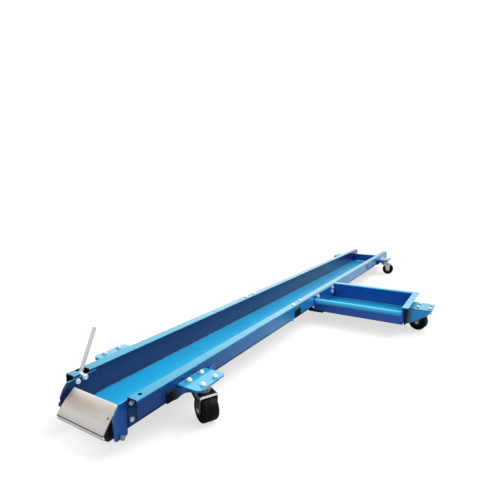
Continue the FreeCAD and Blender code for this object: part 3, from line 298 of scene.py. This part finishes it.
def bare_steel(name):
    """Ground sheet: grain along the width, brown film near the top, a painted highlight at the top edge, a painted
    shadow line at the crease.
    """
    m = Nodes(name)
    grain = m.noise(1, 6, 0.65, m.mapped((700, 7, 700)))
    grain2 = m.noise(1, 3, 0.6, m.mapped((180, 3, 180)))
    film = m.noise(14, 3, 0.5, m.mapped((1, 0.45, 1)))
    z = m.axis(2)
    band = m.math("MULTIPLY", m.remap(z, 0.066, 0.080, 0, 1), m.remap(z, 0.0935, 0.086, 0, 1))
    stain = m.math("MULTIPLY", band, m.remap(film, 0.36, 0.60, 0.15, 1.0))
    crease = m.band(z, 0.0506, 0.0524, 0.0007)
    lip = m.remap(z, 0.0503, 0.0497, 0, 1)
    line = m.band(z, 0.0400, 0.0422, 0.0005)
    col = m.mix(m.remap(grain, 0.3, 0.7, 0, 1), (0.66, 0.60, 0.545), (0.82, 0.76, 0.705))
    # painted highlight: lighter towards the top edge
    col = m.mix(m.remap(z, 0.0925, 0.0955, 0, 0.5), col, (0.90, 0.87, 0.84))
    col = m.mix(m.math("MULTIPLY", stain, 0.7), col, (0.37, 0.275, 0.20))
    col = m.mix(lip, col, (0.93, 0.86, 0.79))
    # painted shadow: a dark line at the crease
    col = m.mix(m.math("MULTIPLY", crease, 0.95), col, (0.03, 0.018, 0.012))
    col = m.mix(m.math("MULTIPLY", line, 0.8), col, (0.10, 0.07, 0.055))
    m.link(col, m.b.inputs["Base Color"])
    m.link(m.remap(m.math("MAXIMUM", lip, crease), 0, 1, 0.7, 0.05), m.b.inputs["Metallic"])
    m.set(Anisotropic=0.3)
    m.link(m.math("ADD", m.remap(grain2, 0.3, 0.7, 0.30, 0.42), m.math("MULTIPLY", stain, 0.05)), m.b.inputs["Roughness"])
    m.link(m.bump(grain, 0.06, 0.0003, m.soft_edges(0.0008)), m.b.inputs["Normal"])
    return m.mat


def rod_steel(name):
    """Drawn bar: fine lines along it and a few rubbed rings. The crank plate at its foot is dark."""
    m = Nodes(name)
    lean = (0, math.radians(-25), 0)
    line = m.noise(1, 5, 0.6, m.mapped((900, 900, 12), lean))
    ring = m.noise(1, 3, 0.5, m.mapped((6, 6, 260), lean))
    col = m.mix(m.remap(line, 0.3, 0.7, 0, 1), (0.78, 0.77, 0.76), (0.94, 0.93, 0.92))
    col = m.mix(m.remap(ring, 0.55, 0.8, 0, 0.30), col, (0.45, 0.43, 0.41))
    crank = m.remap(m.axis(2), 0.0965, 0.0945, 0, 1)
    col = m.mix(crank, col, (0.006, 0.016, 0.05))
    m.link(col, m.b.inputs["Base Color"])
    m.link(m.remap(crank, 0, 1, 0.4, 0.0), m.b.inputs["Metallic"])
    m.link(m.remap(line, 0.3, 0.7, 0.30, 0.44), m.b.inputs["Roughness"])
    m.link(m.bump(line, 0.06, 0.0003, m.soft_edges(0.0006)), m.b.inputs["Normal"])
    return m.mat


def zinc(name, dark, light, rough, metal, crown=False):
    """Bright zinc plate: small spangle, thin bluish and straw tints, press marks."""
    m = Nodes(name)
    sep = m.t.nodes.new("ShaderNodeSeparateColor")
    m.link(m.voronoi(260, out="Color"), sep.inputs[0])
    cloud = m.noise(45, 4, 0.6)
    f = m.math("ADD", m.math("MULTIPLY", sep.outputs[0], 0.35), m.math("MULTIPLY", cloud, 0.65))
    col = m.mix(m.remap(f, 0.25, 0.75, 0, 1), dark, light)
    tint = m.remap(m.noise(22, 2, 0.5), 0.45, 0.7, 0, 0.16)
    col = m.mix(tint, col, (0.72, 0.68, 0.52))
    nrm = m.soft_edges(0.0006)
    if crown:
        # painted reflection: near white on the crown's rolled lip, weaker above it and none on the legs; painted shade:
        # near black on the fork's faces that look up, under the plate
        z = m.axis(2)
        bright = m.math("MULTIPLY", m.remap(z, (68 - OZ) / 1000, (71.5 - OZ) / 1000, 0, 1), m.remap(z, (77.2 - OZ) / 1000, (79 - OZ) / 1000, 1, 0.35))
        g = m.t.nodes.new("ShaderNodeNewGeometry")
        sep = m.t.nodes.new("ShaderNodeSeparateXYZ")
        m.link(g.outputs["Normal"], sep.inputs[0])
        flat = m.remap(sep.outputs[2], 0.4, 0.8, 0, 1)
        col = m.mix(m.math("MULTIPLY", bright, m.remap(flat, 0, 1, 1, 0)), col, (0.95, 0.95, 0.95))
        col = m.mix(flat, col, (0.03, 0.031, 0.034))
    # painted highlight: near white along the edges
    col = m.mix(m.math("MULTIPLY", m.edge_mask(nrm), 0.7), col, (0.95, 0.95, 0.96))
    m.link(col, m.b.inputs["Base Color"])
    m.set(Metallic=metal)
    m.link(m.remap(f, 0.25, 0.75, rough[0], rough[1]), m.b.inputs["Roughness"])
    m.link(m.bump(m.noise(600, 3, 0.6), 0.08, 0.0002, nrm), m.b.inputs["Normal"])
    return m.mat


def black_plastic(name):
    """Moulded plastic: fine spark texture, slightly greyer along its edges, a painted highlight."""
    m = Nodes(name)
    col = m.mix(m.remap(m.noise(60, 3, 0.5), 0.35, 0.65, 0, 1), (0.006, 0.006, 0.007), (0.014, 0.014, 0.015))
    nrm = m.soft_edges(0.0008)
    # painted highlight along the edges
    col = m.mix(m.math("MULTIPLY", m.edge_mask(nrm), 0.4), col, (0.045, 0.045, 0.047))
    m.link(col, m.b.inputs["Base Color"])
    m.link(m.remap(m.noise(35, 3, 0.5), 0.3, 0.7, 0.36, 0.52), m.b.inputs["Roughness"])
    m.set(IOR=1.32)
    m.link(m.bump(m.noise(1400, 2, 0.5), 0.12, 0.0002, nrm), m.b.inputs["Normal"])
    return m.mat


def tyre_rubber(name):
    """Solid rubber tread: matt, with a little dust worked into it."""
    m = Nodes(name)
    dust = m.noise(70, 5, 0.65)
    col = m.mix(m.remap(dust, 0.35, 0.75, 0, 1), (0.003, 0.003, 0.004), (0.008, 0.008, 0.009))
    m.link(col, m.b.inputs["Base Color"])
    m.link(m.remap(m.noise(50, 4, 0.6), 0.3, 0.7, 0.42, 0.60), m.b.inputs["Roughness"])
    m.set(IOR=1.22, Specular_IOR_Level=0.3)
    m.link(m.bump(m.noise(900, 3, 0.55), 0.10, 0.0002), m.b.inputs["Normal"])
    return m.mat


# Painted light in the blue paint: the top tone is a lit tone for faces that look up, the side tone a shaded tone for
# upright faces, and the edge colour a painted highlight along edges.
SHADED_SIDE, LIT_TOP, EDGE_HIGHLIGHT = (0.007, 0.085, 0.36), (0.014, 0.33, 0.55), (0.10, 0.42, 0.66)
# the rim tone of the bracket plates is a lighter painted lit copy of the side tone
RIM = (0.014, 0.22, 0.42)
# track: a near black painted shade on upright faces; the channel floor's brighter lit tone is painted light, the outer
# lips' tone a painted shade that deepens towards the rear, and the bends along its floor and the hollow sides take
# painted shade
TRACK = paint("gloss_blue_track", (0.014, 0.027, 0.108), (0.012, 0.26, 0.40), EDGE_HIGHLIGHT, 0.15, 1.0, soft=0, dark=hollow, bend_shade=True,
              deep=(0.005, 0.355, 0.67), outer=((0.002, 0.040, 0.190), (0.025, 0.24, 0.56)))
BLUE = paint("gloss_blue_paint", SHADED_SIDE, LIT_TOP, EDGE_HIGHLIGHT, 0.2, 1.0)
# the left cheek's side and edge tones are a darker painted shade
CHEEK = paint("gloss_blue_shaded_left_cheek", (0.014, 0.028, 0.112), LIT_TOP, (0.018, 0.045, 0.15), 0.15, 1.0)
# the right cheek's channel side takes a painted shade
CHEEK_RIGHT = paint("gloss_blue_right_cheek", SHADED_SIDE, LIT_TOP, EDGE_HIGHLIGHT, 0.2, 0.45, inner=(0.014, 0.028, 0.112))
# the rear wing of each bracket is painted shade in near black
BRACKET = paint("gloss_blue_bracket", SHADED_SIDE, LIT_TOP, EDGE_HIGHLIGHT, 0.2, 1.0, dark=wings, rim=RIM)
# the tray bracket's side tone is a much lighter painted lit copy; its rear wing is painted shade in near black
TRAY_BRACKET = paint("gloss_blue_tray_bracket", (0.019, 0.34, 0.78), LIT_TOP, EDGE_HIGHLIGHT, 0.2, 1.0, dark=tray_wing, rim=RIM)
# the tray has its own painted lit top and shaded side tones
TRAY = paint("gloss_blue_tray", (0.010, 0.095, 0.42), (0.014, 0.38, 0.64), EDGE_HIGHLIGHT, 0.2, 1.0, soft=0)
BLACK = paint("semi_gloss_black_paint", (0.006, 0.006, 0.008), (0.010, 0.010, 0.013), (0.03, 0.03, 0.035), 0.0, 0.3, (0.35, 0.5))
STEEL = bare_steel("ground_sheet_steel")
ROD = rod_steel("drawn_steel_bar")
ZINC = zinc("bright_zinc_plate", (0.58, 0.59, 0.61), (0.80, 0.81, 0.82), (0.24, 0.38), 0.85)
# the rear and tray forks are a shaded copy of the zinc, near black, painted shade; the front forks a lit copy, painted
# light
FORK = zinc("shaded_zinc_fork", (0.060, 0.062, 0.067), (0.095, 0.097, 0.102), (0.24, 0.32), 0.7, crown=True)
FORK_FRONT = zinc("lit_zinc_fork", (0.66, 0.66, 0.66), (0.86, 0.86, 0.85), (0.26, 0.38), 0.35)
# the guide pins in a darker grey zinc
PIN = zinc("grey_zinc_pin", (0.17, 0.162, 0.155), (0.27, 0.26, 0.25), (0.32, 0.46), 0.4)
BOLT = zinc("bright_zinc_bolt", (0.80, 0.81, 0.82), (0.94, 0.94, 0.94), (0.24, 0.36), 0.3)
PLASTIC = black_plastic("moulded_black_plastic")
TYRE = tyre_rubber("black_wheel_rubber")
LOOK = {"blue_paint": BLUE, "black_paint": BLACK, "bare_steel": STEEL, "bright_steel": ROD,
        "zinc_steel": ZINC, "black_plastic": PLASTIC, "black_tyre": TYRE}
OWN = {"rear_track": TRACK, "front_track": TRACK, "kickstand_tray": TRAY, "caster_bracket_tray": TRAY_BRACKET,
       "cheek_plate_left": CHEEK, "cheek_plate_right": CHEEK_RIGHT}
for w in ("rear_right", "rear_left", "front_right", "front_left", "tray"):
    OWN["caster_fork_" + w] = FORK_FRONT if w.startswith("front") else FORK
    OWN.setdefault("caster_bracket_" + w, BRACKET)

for name, o in NODES.items():
    o.data.materials.clear()
    o.data.materials.append(OWN.get(name, LOOK[SLOT_OF[name]]))


# ------------------------------------------------------------------ mesh helpers

def pose(at, direction, turn=0.0):
    """Millimetre local frame at a place, with Z along the direction."""
    q = Vector(direction).to_track_quat("Z", "Y")
    return Matrix.Translation(at) @ q.to_matrix().to_4x4() @ Matrix.Rotation(turn, 4, "Z") @ Matrix.Scale(0.001, 4)


def skin(bm, M, rings, seg=48, close=False):
    """Skin through rings of (radius, height); either may be a function of the angle."""
    rows = []
    for r, z in rings:
        if not callable(r) and r == 0:
            rows.append([bm.verts.new(M @ Vector((0, 0, z)))])
            continue
        row = []
        for i in range(seg):
            a = 2 * math.pi * i / seg
            rr = r(a) if callable(r) else r
            zz = z(a) if callable(z) else z
            row.append(bm.verts.new(M @ Vector((rr * math.cos(a), rr * math.sin(a), zz))))
        rows.append(row)
    pairs = list(zip(rows, rows[1:]))
    if close:
        pairs.append((rows[-1], rows[0]))
    for a, b in pairs:
        for i in range(seg):
            j = (i + 1) % seg
            if len(a) == 1:
                bm.faces.new((a[0], b[j], b[i]))
            elif len(b) == 1:
                bm.faces.new((a[i], a[j], b[0]))
            else:
                bm.faces.new((a[i], a[j], b[j], b[i]))


def hexagon(circum, scale=1.0):
    ap = circum * math.cos(math.pi / 6) * scale
    return lambda a: ap / math.cos((a % (math.pi / 3)) - math.pi / 6)


def chamfer(circum, top, flat, slope=0.55):
    """Height of a hexagon's side under a cone that leaves a round top face."""
    h = hexagon(circum)
    return lambda a: top - max(0.0, h(a) - flat) * slope


M8, M6, PIVOT = (7.5, 4.0, 8.2), (5.8, 3.0, 6.5), (6.4, 4.0, 7.2)


def bolt(bm, place, out, length, head, washer=1.3, turn=0.0, threads=0.0, size=M8):
    """Hex bolt: washer and chamfered head along out, shank the other way, threads at its end."""
    M = pose(place, out, turn)
    h, r, w = size
    flat = h * 0.866 * 0.94
    skin(bm, M, [(0, 0), (w - 0.3, 0), (w, 0.3), (w, washer - 0.3), (w - 0.3, washer), (hexagon(h, 0.95), washer), (hexagon(h), washer + 0.3),
                 (hexagon(h), chamfer(h, head, flat)), (flat, head), (flat * 0.72, head), (flat * 0.66, head - 0.3), (0, head - 0.3)])
    rings = [(0, 0.2), (r, 0.2)]
    z = -(length - threads)
    rings.append((r, z))
    while z - 1.25 > -length + 0.6:
        rings += [(r * 0.89, z - 0.35), (r * 0.89, z - 0.55), (r, z - 0.95), (r, z - 1.2)]
        z -= 1.25
    rings += [(r - 0.1, -length + 0.5), (r * 0.82, -length), (0, -length)]
    skin(bm, M, rings, 24)


def nut(bm, place, out, high, turn=0.0, locking=True, size=M8):
    """Hex nut with chamfers and, where it has the height, a locking collar."""
    M = pose(place, out, turn)
    h, r, w = size
    flat = h * 0.866 * 0.95
    low = chamfer(h, 0, flat)
    top = high * (0.72 if locking else 1.0)
    rings = [(r + 0.25, 0), (flat, 0), (hexagon(h), lambda a: -low(a)), (hexagon(h), chamfer(h, top, flat)), (flat, top)]
    if locking:
        rings += [(flat * 0.93, top + 0.15), (flat * 0.93, high - 0.6), (flat * 0.86, high - 0.1), (r + 0.9, high)]
    rings += [(r + 0.5, high), (r + 0.25, high - 0.4)]
    skin(bm, M, rings, 48, close=True)


def finish(name, bm, material, body, slot, *nodes, angle=32):
    bmesh.ops.recalc_face_normals(bm, faces=bm.faces)
    me = bpy.data.meshes.new(name)
    bm.to_mesh(me)
    bm.free()
    for p in me.polygons:
        p.use_smooth = True
    me.set_sharp_from_angle(angle=math.radians(angle))
    me.materials.append(material)
    o = bpy.data.objects.new(name, me)
    scene.collection.objects.link(o)
    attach(o, body)
    if nodes:
        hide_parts(*nodes)
    return o


def tilt(i):
    return math.radians((i * 37) % 60)


# ------------------------------------------------------------------ fasteners

CASTERS = {"rear_right": (182, -152, (-0.45, -0.893)), "rear_left": (182, 152, (-0.62, 0.78)),
           "front_right": (2187, -152, (0.10, -0.995)), "front_left": (2187, 152, (-0.86, 0.51)),
           "tray": (1133, -530, (0.20, 0.98))}
UP, DOWN = (0, 0, 1), (0, 0, -1)

bm, bn, k = bmesh.new(), bmesh.new(), 0
for x, y, t in CASTERS.values():
    for sx in (1, -1):
        for sy in (1, -1):
            bx, by = x + 24.5 * sx, y + 20.75 * sy
            bolt(bm, R(bx, by, 94), DOWN, 14.5, 3.8, 0.9, tilt(k), 8)
            nut(bn, R(bx, by, 101), UP, 6.0, tilt(k * 3 + 1))
            k += 1
finish("caster_bolt_set", bm, BOLT, "chassis", "zinc_steel", "caster_bolts")
finish("caster_nut_set", bn, BOLT, "chassis", "zinc_steel", "caster_nuts")

bm, k = bmesh.new(), 0
for x in (1033, 1217):
    for z in (88, 108):
        bolt(bm, R(x, -123, z), (0, -1, 0), 16, 5.3, 1.3, tilt(k), 9)
        nut(bm, R(x, -117, z), (0, 1, 0), 6.0, tilt(k + 2))
        k += 1
finish("tray_bolt_set", bm, BOLT, "chassis", "zinc_steel", "tray_bolts")

bm, k = bmesh.new(), 0
for sgn in (1, -1):
    for z in (105.5, 68):
        bolt(bm, R(8, 86.5 * sgn, z), (0, -sgn, 0), 11, 4.2, 1.0, tilt(k), 5, M6)
        nut(bm, R(8, 93 * sgn, z), (0, sgn, 0), 4, tilt(k + 3), False, M6)
        k += 1
finish("cheek_bolt_set", bm, BOLT, "chassis", "zinc_steel", "cheek_bolts")

bm, k = bmesh.new(), 0
for sgn in (1, -1):
    for z in (66, 86):
        bolt(bm, R(2328, 86.7 * sgn, z), (0, -sgn, 0), 15, 5.3, 1.3, tilt(k), 9)
        nut(bm, R(2328, 93 * sgn, z), (0, sgn, 0), 6.0, tilt(k + 1))
        k += 1
finish("front_stop_bolt_set", bm, BOLT, "chassis", "zinc_steel", "front_stop_bolts")

bm, k = bmesh.new(), 0
for sgn in (1, -1):
    for x, low, end in ((817, 74.5, 12), (883, 77.5, 4)):
        bolt(bm, R(x, 105 * sgn, 121.5), UP, 121.5 - low + 6 + end, 3.3, 0.9, tilt(k), 10 + end)
        nut(bm, R(x, 105 * sgn, low), DOWN, 6.0, tilt(k + 1))
        k += 1
finish("splice_bolt_set", bm, BOLT, "chassis", "zinc_steel", "splice_bolts")

bm = bmesh.new()
for sgn in (1, -1):
    M = pose(R(-19, 86.5 * sgn, 39.5), (0, sgn, 0))
    # sleeve inside the cheek, then the pin's end outside it: riveted flat on the left, long and grooved for a clip on the right
    rings = [(0, -20.5), (5.2, -20.5), (6, -19.7), (6, -0.7), (5.4, 0), (4, 0), (4, 3.5), (5.1, 3.5), (5.5, 3.9)]
    if sgn > 0:
        rings += [(5.4, 4.8), (4.6, 5.35), (0, 5.5)]
    else:
        rings += [(5.5, 7.4), (4.7, 7.7), (4.7, 8.7), (5.5, 9.0), (5.5, 10.2), (5.1, 11), (4.2, 11.5), (0, 11.5)]
    skin(bm, M, rings)
finish("ramp_guide_pin_set", bm, PIN, "chassis", "zinc_steel", "ramp_guide_bolts")

bm = bmesh.new()
bolt(bm, R(28, 86.5, 109), (0, -1, 0), 30.1, 5.3, 1.2, 0.2, 5.4, PIVOT)
skin(bm, pose(R(28, 93, 109), (0, 1, 0)), [(4.05, 0.05), (6.2, 0.05), (6.5, 0.35), (6.5, 4.4), (6.2, 4.75), (4.05, 4.75)], 32, close=True)
nut(bm, R(28, 111.8, 109), (0, 1, 0), 4.5, 0.4, False)
finish("lever_pivot_bolt_set", bm, BOLT, "chassis", "zinc_steel", "lever_pivot_bolt")


# ------------------------------------------------------------------ caster wheels

TREAD = [(23.5, 18.4), (24.1, 19.4), (25.4, 20), (26.0, 20), (26.3, 19.6), (27.0, 19.6), (27.3, 20), (28.8, 19.8), (30.2, 19.1), (31.3, 17.8), (32.0, 15.8),
         (32.28, 13), (32.3, 0.75), (32.5, 0.35)]
CORE = [(4.05, 20.5), (8.0, 20.5), (8.5, 20.0), (8.9, 14.2), (9.7, 13.3), (17.6, 13.3), (18.5, 14.0), (19.6, 18.0), (20.2, 18.5), (23.4, 18.5)]


def mirrored(half):
    return half + [(r, -z) for r, z in reversed(half)]


for word, (x, y, t) in CASTERS.items():
    n = math.hypot(*t)
    t = (t[0] / n, t[1] / n)
    hub = R(x + 22 * t[0], y + 22 * t[1], 37.5)
    M = pose(hub, (-t[1], t[0], 0))
    bm = bmesh.new()
    skin(bm, M, mirrored(TREAD), 96, close=True)
    finish("tyre_" + word, bm, TYRE, "wheel_" + word, "black_tyre", "caster_tyre_" + word, angle=40)
    bm = bmesh.new()
    skin(bm, M, mirrored(CORE), 72, close=True)
    # moulded ribs in both recesses of the core
    for side in (1, -1):
        for i in range(8):
            a = math.pi / 4 * i
            d, c = Vector((math.cos(a), math.sin(a), 0)), Vector((-math.sin(a), math.cos(a), 0))
            lo = [M @ (d * r + c * w + Vector((0, 0, side * 13.0))) for r, w in ((8.4, -1.3), (19.2, -1.3), (19.2, 1.3), (8.4, 1.3))]
            hi = [M @ (d * r + c * w + Vector((0, 0, side * h))) for r, w, h in ((8.4, -0.9, 18.2), (19.2, -0.9, 16.6), (19.2, 0.9, 16.6), (8.4, 0.9, 18.2))]
            v = [bm.verts.new(p) for p in lo + hi]
            for f in ((0, 1, 2, 3), (4, 5, 6, 7), (0, 1, 5, 4), (1, 2, 6, 5), (2, 3, 7, 6), (3, 0, 4, 7)):
                bm.faces.new([v[j] for j in f])
    finish("wheel_core_" + word, bm, PLASTIC, "wheel_" + word, "black_plastic", "caster_hub_" + word)
    bm = bmesh.new()
    half = [(0, 26.6), (2.4, 26.5), (4.4, 26.0), (5.8, 25.2), (6.5, 24.5), (6.5, 24.0), (4, 24.0)]
    skin(bm, M, mirrored(half), 40)
    finish("axle_rivet_" + word, bm, ZINC, "fork_" + word, "zinc_steel", "caster_axle_" + word)


# ------------------------------------------------------------------ welds of the brackets

def bead(bm, a, b, radius, pitch=2.6, seed=0):
    """Rippled weld bead between two places, with rounded ends."""
    a, b = Vector(a), Vector(b)
    length = (b - a).length
    d = (b - a).normalized()
    q = d.to_track_quat("Z", "Y").to_matrix()
    n = max(8, int(length / pitch * 5))
    rows = []
    for i in range(n + 1):
        s = length * i / n
        end = min(s, length - s)
        r = radius * min(1.0, math.sqrt(max(0.0, end / (radius * 1.2)))) if end < radius * 1.2 else radius
        r *= 0.86 + 0.14 * abs(math.sin(math.pi * s / pitch + seed)) + 0.05 * math.sin(s * 0.9 + seed * 3)
        wave = Vector((math.sin(s * 0.55 + seed), math.cos(s * 0.41 + seed * 2), 0)) * radius * 0.08
        row = []
        for j in range(12):
            u = 2 * math.pi * j / 12
            row.append(bm.verts.new(R(*(a + d * s + q @ (Vector((math.cos(u), math.sin(u), 0)) * max(r, 0.02) + wave)))))
        rows.append(row)
    for p, c in zip(rows, rows[1:]):
        for j in range(12):
            m = (j + 1) % 12
            bm.faces.new((p[j], p[m], c[m], c[j]))
    bm.faces.new(rows[0])
    bm.faces.new(rows[-1])


for i, (word, (x, y, t)) in enumerate(CASTERS.items()):
    if word == "tray":
        foot, sgn = -470, -1
    else:
        sgn = 1 if y > 0 else -1
        foot = 120 * sgn
    bm = bmesh.new()
    low = 46 if word == "tray" else 76
    for side in (1, -1):
        bead(bm, (x + 94 * side, foot + 0.8 * sgn, low), (x + 94 * side, foot + 0.8 * sgn, 95.5), 1.7, seed=i + side)
        bead(bm, (x + 83 * side, foot + 1.2 * sgn, 97), (x + 93 * side, foot + 1.2 * sgn, 97), 1.6, seed=2 * i + side)
    bead(bm, (x - 51, foot + 0.6 * sgn, 101), (x + 51, foot + 0.6 * sgn, 101), 1.6, seed=3 * i)
    finish("bracket_welds_" + word, bm, TRAY_BRACKET if word == "tray" else BRACKET, "chassis", "blue_paint", angle=60)


# ------------------------------------------------------------------ stage, light and camera

def floor_material(name):
    """White sweep: the camera sees it lit almost evenly, the paint sees a darker room floor."""
    m = Nodes(name)
    n = m.noise(3, 3, 0.5)
    m.link(m.mix(m.remap(n, 0.3, 0.7, 0, 1), (0.80, 0.80, 0.80), (0.82, 0.82, 0.82)), m.b.inputs["Base Color"])
    m.set(Roughness=0.9, Specular_IOR_Level=0.1)
    path = m.t.nodes.new("ShaderNodeLightPath")
    glow = m.t.nodes.new("ShaderNodeEmission")
    glow.inputs["Color"].default_value = (1, 1, 1, 1)
    glow.inputs["Strength"].default_value = 1.08
    seen = m.t.nodes.new("ShaderNodeMixShader")
    seen.inputs[0].default_value = 0.62
    m.link(m.b.outputs[0], seen.inputs[1])
    m.link(glow.outputs[0], seen.inputs[2])
    dull = m.t.nodes.new("ShaderNodeBsdfDiffuse")
    dull.inputs["Color"].default_value = (0.42, 0.42, 0.43, 1)
    pick = m.t.nodes.new("ShaderNodeMixShader")
    m.link(path.outputs["Is Camera Ray"], pick.inputs[0])
    m.link(dull.outputs[0], pick.inputs[1])
    m.link(seen.outputs[0], pick.inputs[2])
    m.link(pick.outputs[0], m.out.inputs[0])
    return m.mat


floor_mesh = bpy.data.meshes.new("floor")
s = 40.0
floor_mesh.from_pydata([(-s, -s, -0.0004), (s, -s, -0.0004), (s, s, -0.0004), (-s, s, -0.0004)], [], [(0, 1, 2, 3)])
floor = bpy.data.objects.new("floor", floor_mesh)
scene.collection.objects.link(floor)
floor_mesh.materials.append(floor_material("pale_floor"))
floor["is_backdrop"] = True

world = bpy.data.worlds.new("studio")
scene.world = world
world.use_nodes = True
wt = world.node_tree
wt.nodes.clear()


def w_node(kind, **inputs):
    n = wt.nodes.new(kind)
    for k, v in inputs.items():
        n.inputs[k].default_value = v
    return n


def w_range(value, a, b, c, d, smooth=True):
    n = wt.nodes.new("ShaderNodeMapRange")
    if smooth:
        n.interpolation_type = "SMOOTHSTEP"
    for k, v in (("From Min", a), ("From Max", b), ("To Min", c), ("To Max", d)):
        n.inputs[k].default_value = v
    wt.links.new(value, n.inputs["Value"])
    return n.outputs[0]


def w_add(a, b):
    n = wt.nodes.new("ShaderNodeMath")
    wt.links.new(a, n.inputs[0])
    wt.links.new(b, n.inputs[1])
    return n.outputs[0]


w_out = wt.nodes.new("ShaderNodeOutputWorld")
w_mix = wt.nodes.new("ShaderNodeMixShader")
w_path = wt.nodes.new("ShaderNodeLightPath")
w_soft = wt.nodes.new("ShaderNodeBackground")
w_plain = wt.nodes.new("ShaderNodeBackground")
w_plain.inputs[0].default_value = (1, 1, 1, 1)
w_plain.inputs[1].default_value = 1.0
w_co = wt.nodes.new("ShaderNodeTexCoord").outputs["Generated"]
w_sep = wt.nodes.new("ShaderNodeSeparateXYZ")
wt.links.new(w_co, w_sep.inputs[0])
w_dot = wt.nodes.new("ShaderNodeVectorMath")
w_dot.operation = "DOT_PRODUCT"
w_dot.inputs[1].default_value = Vector((0.76, 0.48, 0.44)).normalized()
wt.links.new(w_co, w_dot.inputs[0])
# dark near the horizon, bright overhead, and a broad bright panel behind the object
w_sky = w_range(w_sep.outputs[2], 0.10, 0.50, 0.14, 0.95)
w_panel = w_range(w_dot.outputs["Value"], 0.80, 0.985, 0.0, 1.1)
# the panel shows in the gloss only, so that it throws no shadow
w_gloss = wt.nodes.new("ShaderNodeMath")
w_gloss.operation = "MULTIPLY"
wt.links.new(w_panel, w_gloss.inputs[0])
wt.links.new(w_path.outputs["Is Glossy Ray"], w_gloss.inputs[1])
wt.links.new(w_add(w_sky, w_gloss.outputs[0]), w_soft.inputs[1])
w_soft.inputs[0].default_value = (0.94, 1.0, 1.0, 1)
wt.links.new(w_path.outputs["Is Camera Ray"], w_mix.inputs[0])
wt.links.new(w_soft.outputs[0], w_mix.inputs[1])
wt.links.new(w_plain.outputs[0], w_mix.inputs[2])
wt.links.new(w_mix.outputs[0], w_out.inputs[0])


key = bpy.data.lights.new("soft_key", "SUN")
key.energy = 2.7
key.angle = math.radians(50)
key_light = bpy.data.objects.new("soft_key", key)
key_light.rotation_euler = Vector((-0.60, 0.42, -0.95)).to_track_quat("-Z", "Y").to_euler()
scene.collection.objects.link(key_light)

cam_data = bpy.data.cameras.new("camera")
cam = bpy.data.objects.new("camera", cam_data)
scene.collection.objects.link(cam)
scene.camera = cam
yaw, pitch, focal = 0.557, 0.125, 398.0
fwd = Vector((math.cos(pitch) * math.cos(yaw), math.cos(pitch) * math.sin(yaw), -math.sin(pitch)))
right = Vector((math.sin(yaw), -math.cos(yaw), 0))
up = right.cross(fwd)
spot = R(-551.4, -717.3, 558.5)
cam.matrix_world = Matrix(((right.x, up.x, -fwd.x, spot.x), (right.y, up.y, -fwd.y, spot.y),
                           (right.z, up.z, -fwd.z, spot.z), (0, 0, 0, 1)))
cam_data.sensor_width = 36
cam_data.lens = focal * 36 / 480
cam_data.clip_end = 200

lo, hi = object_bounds()
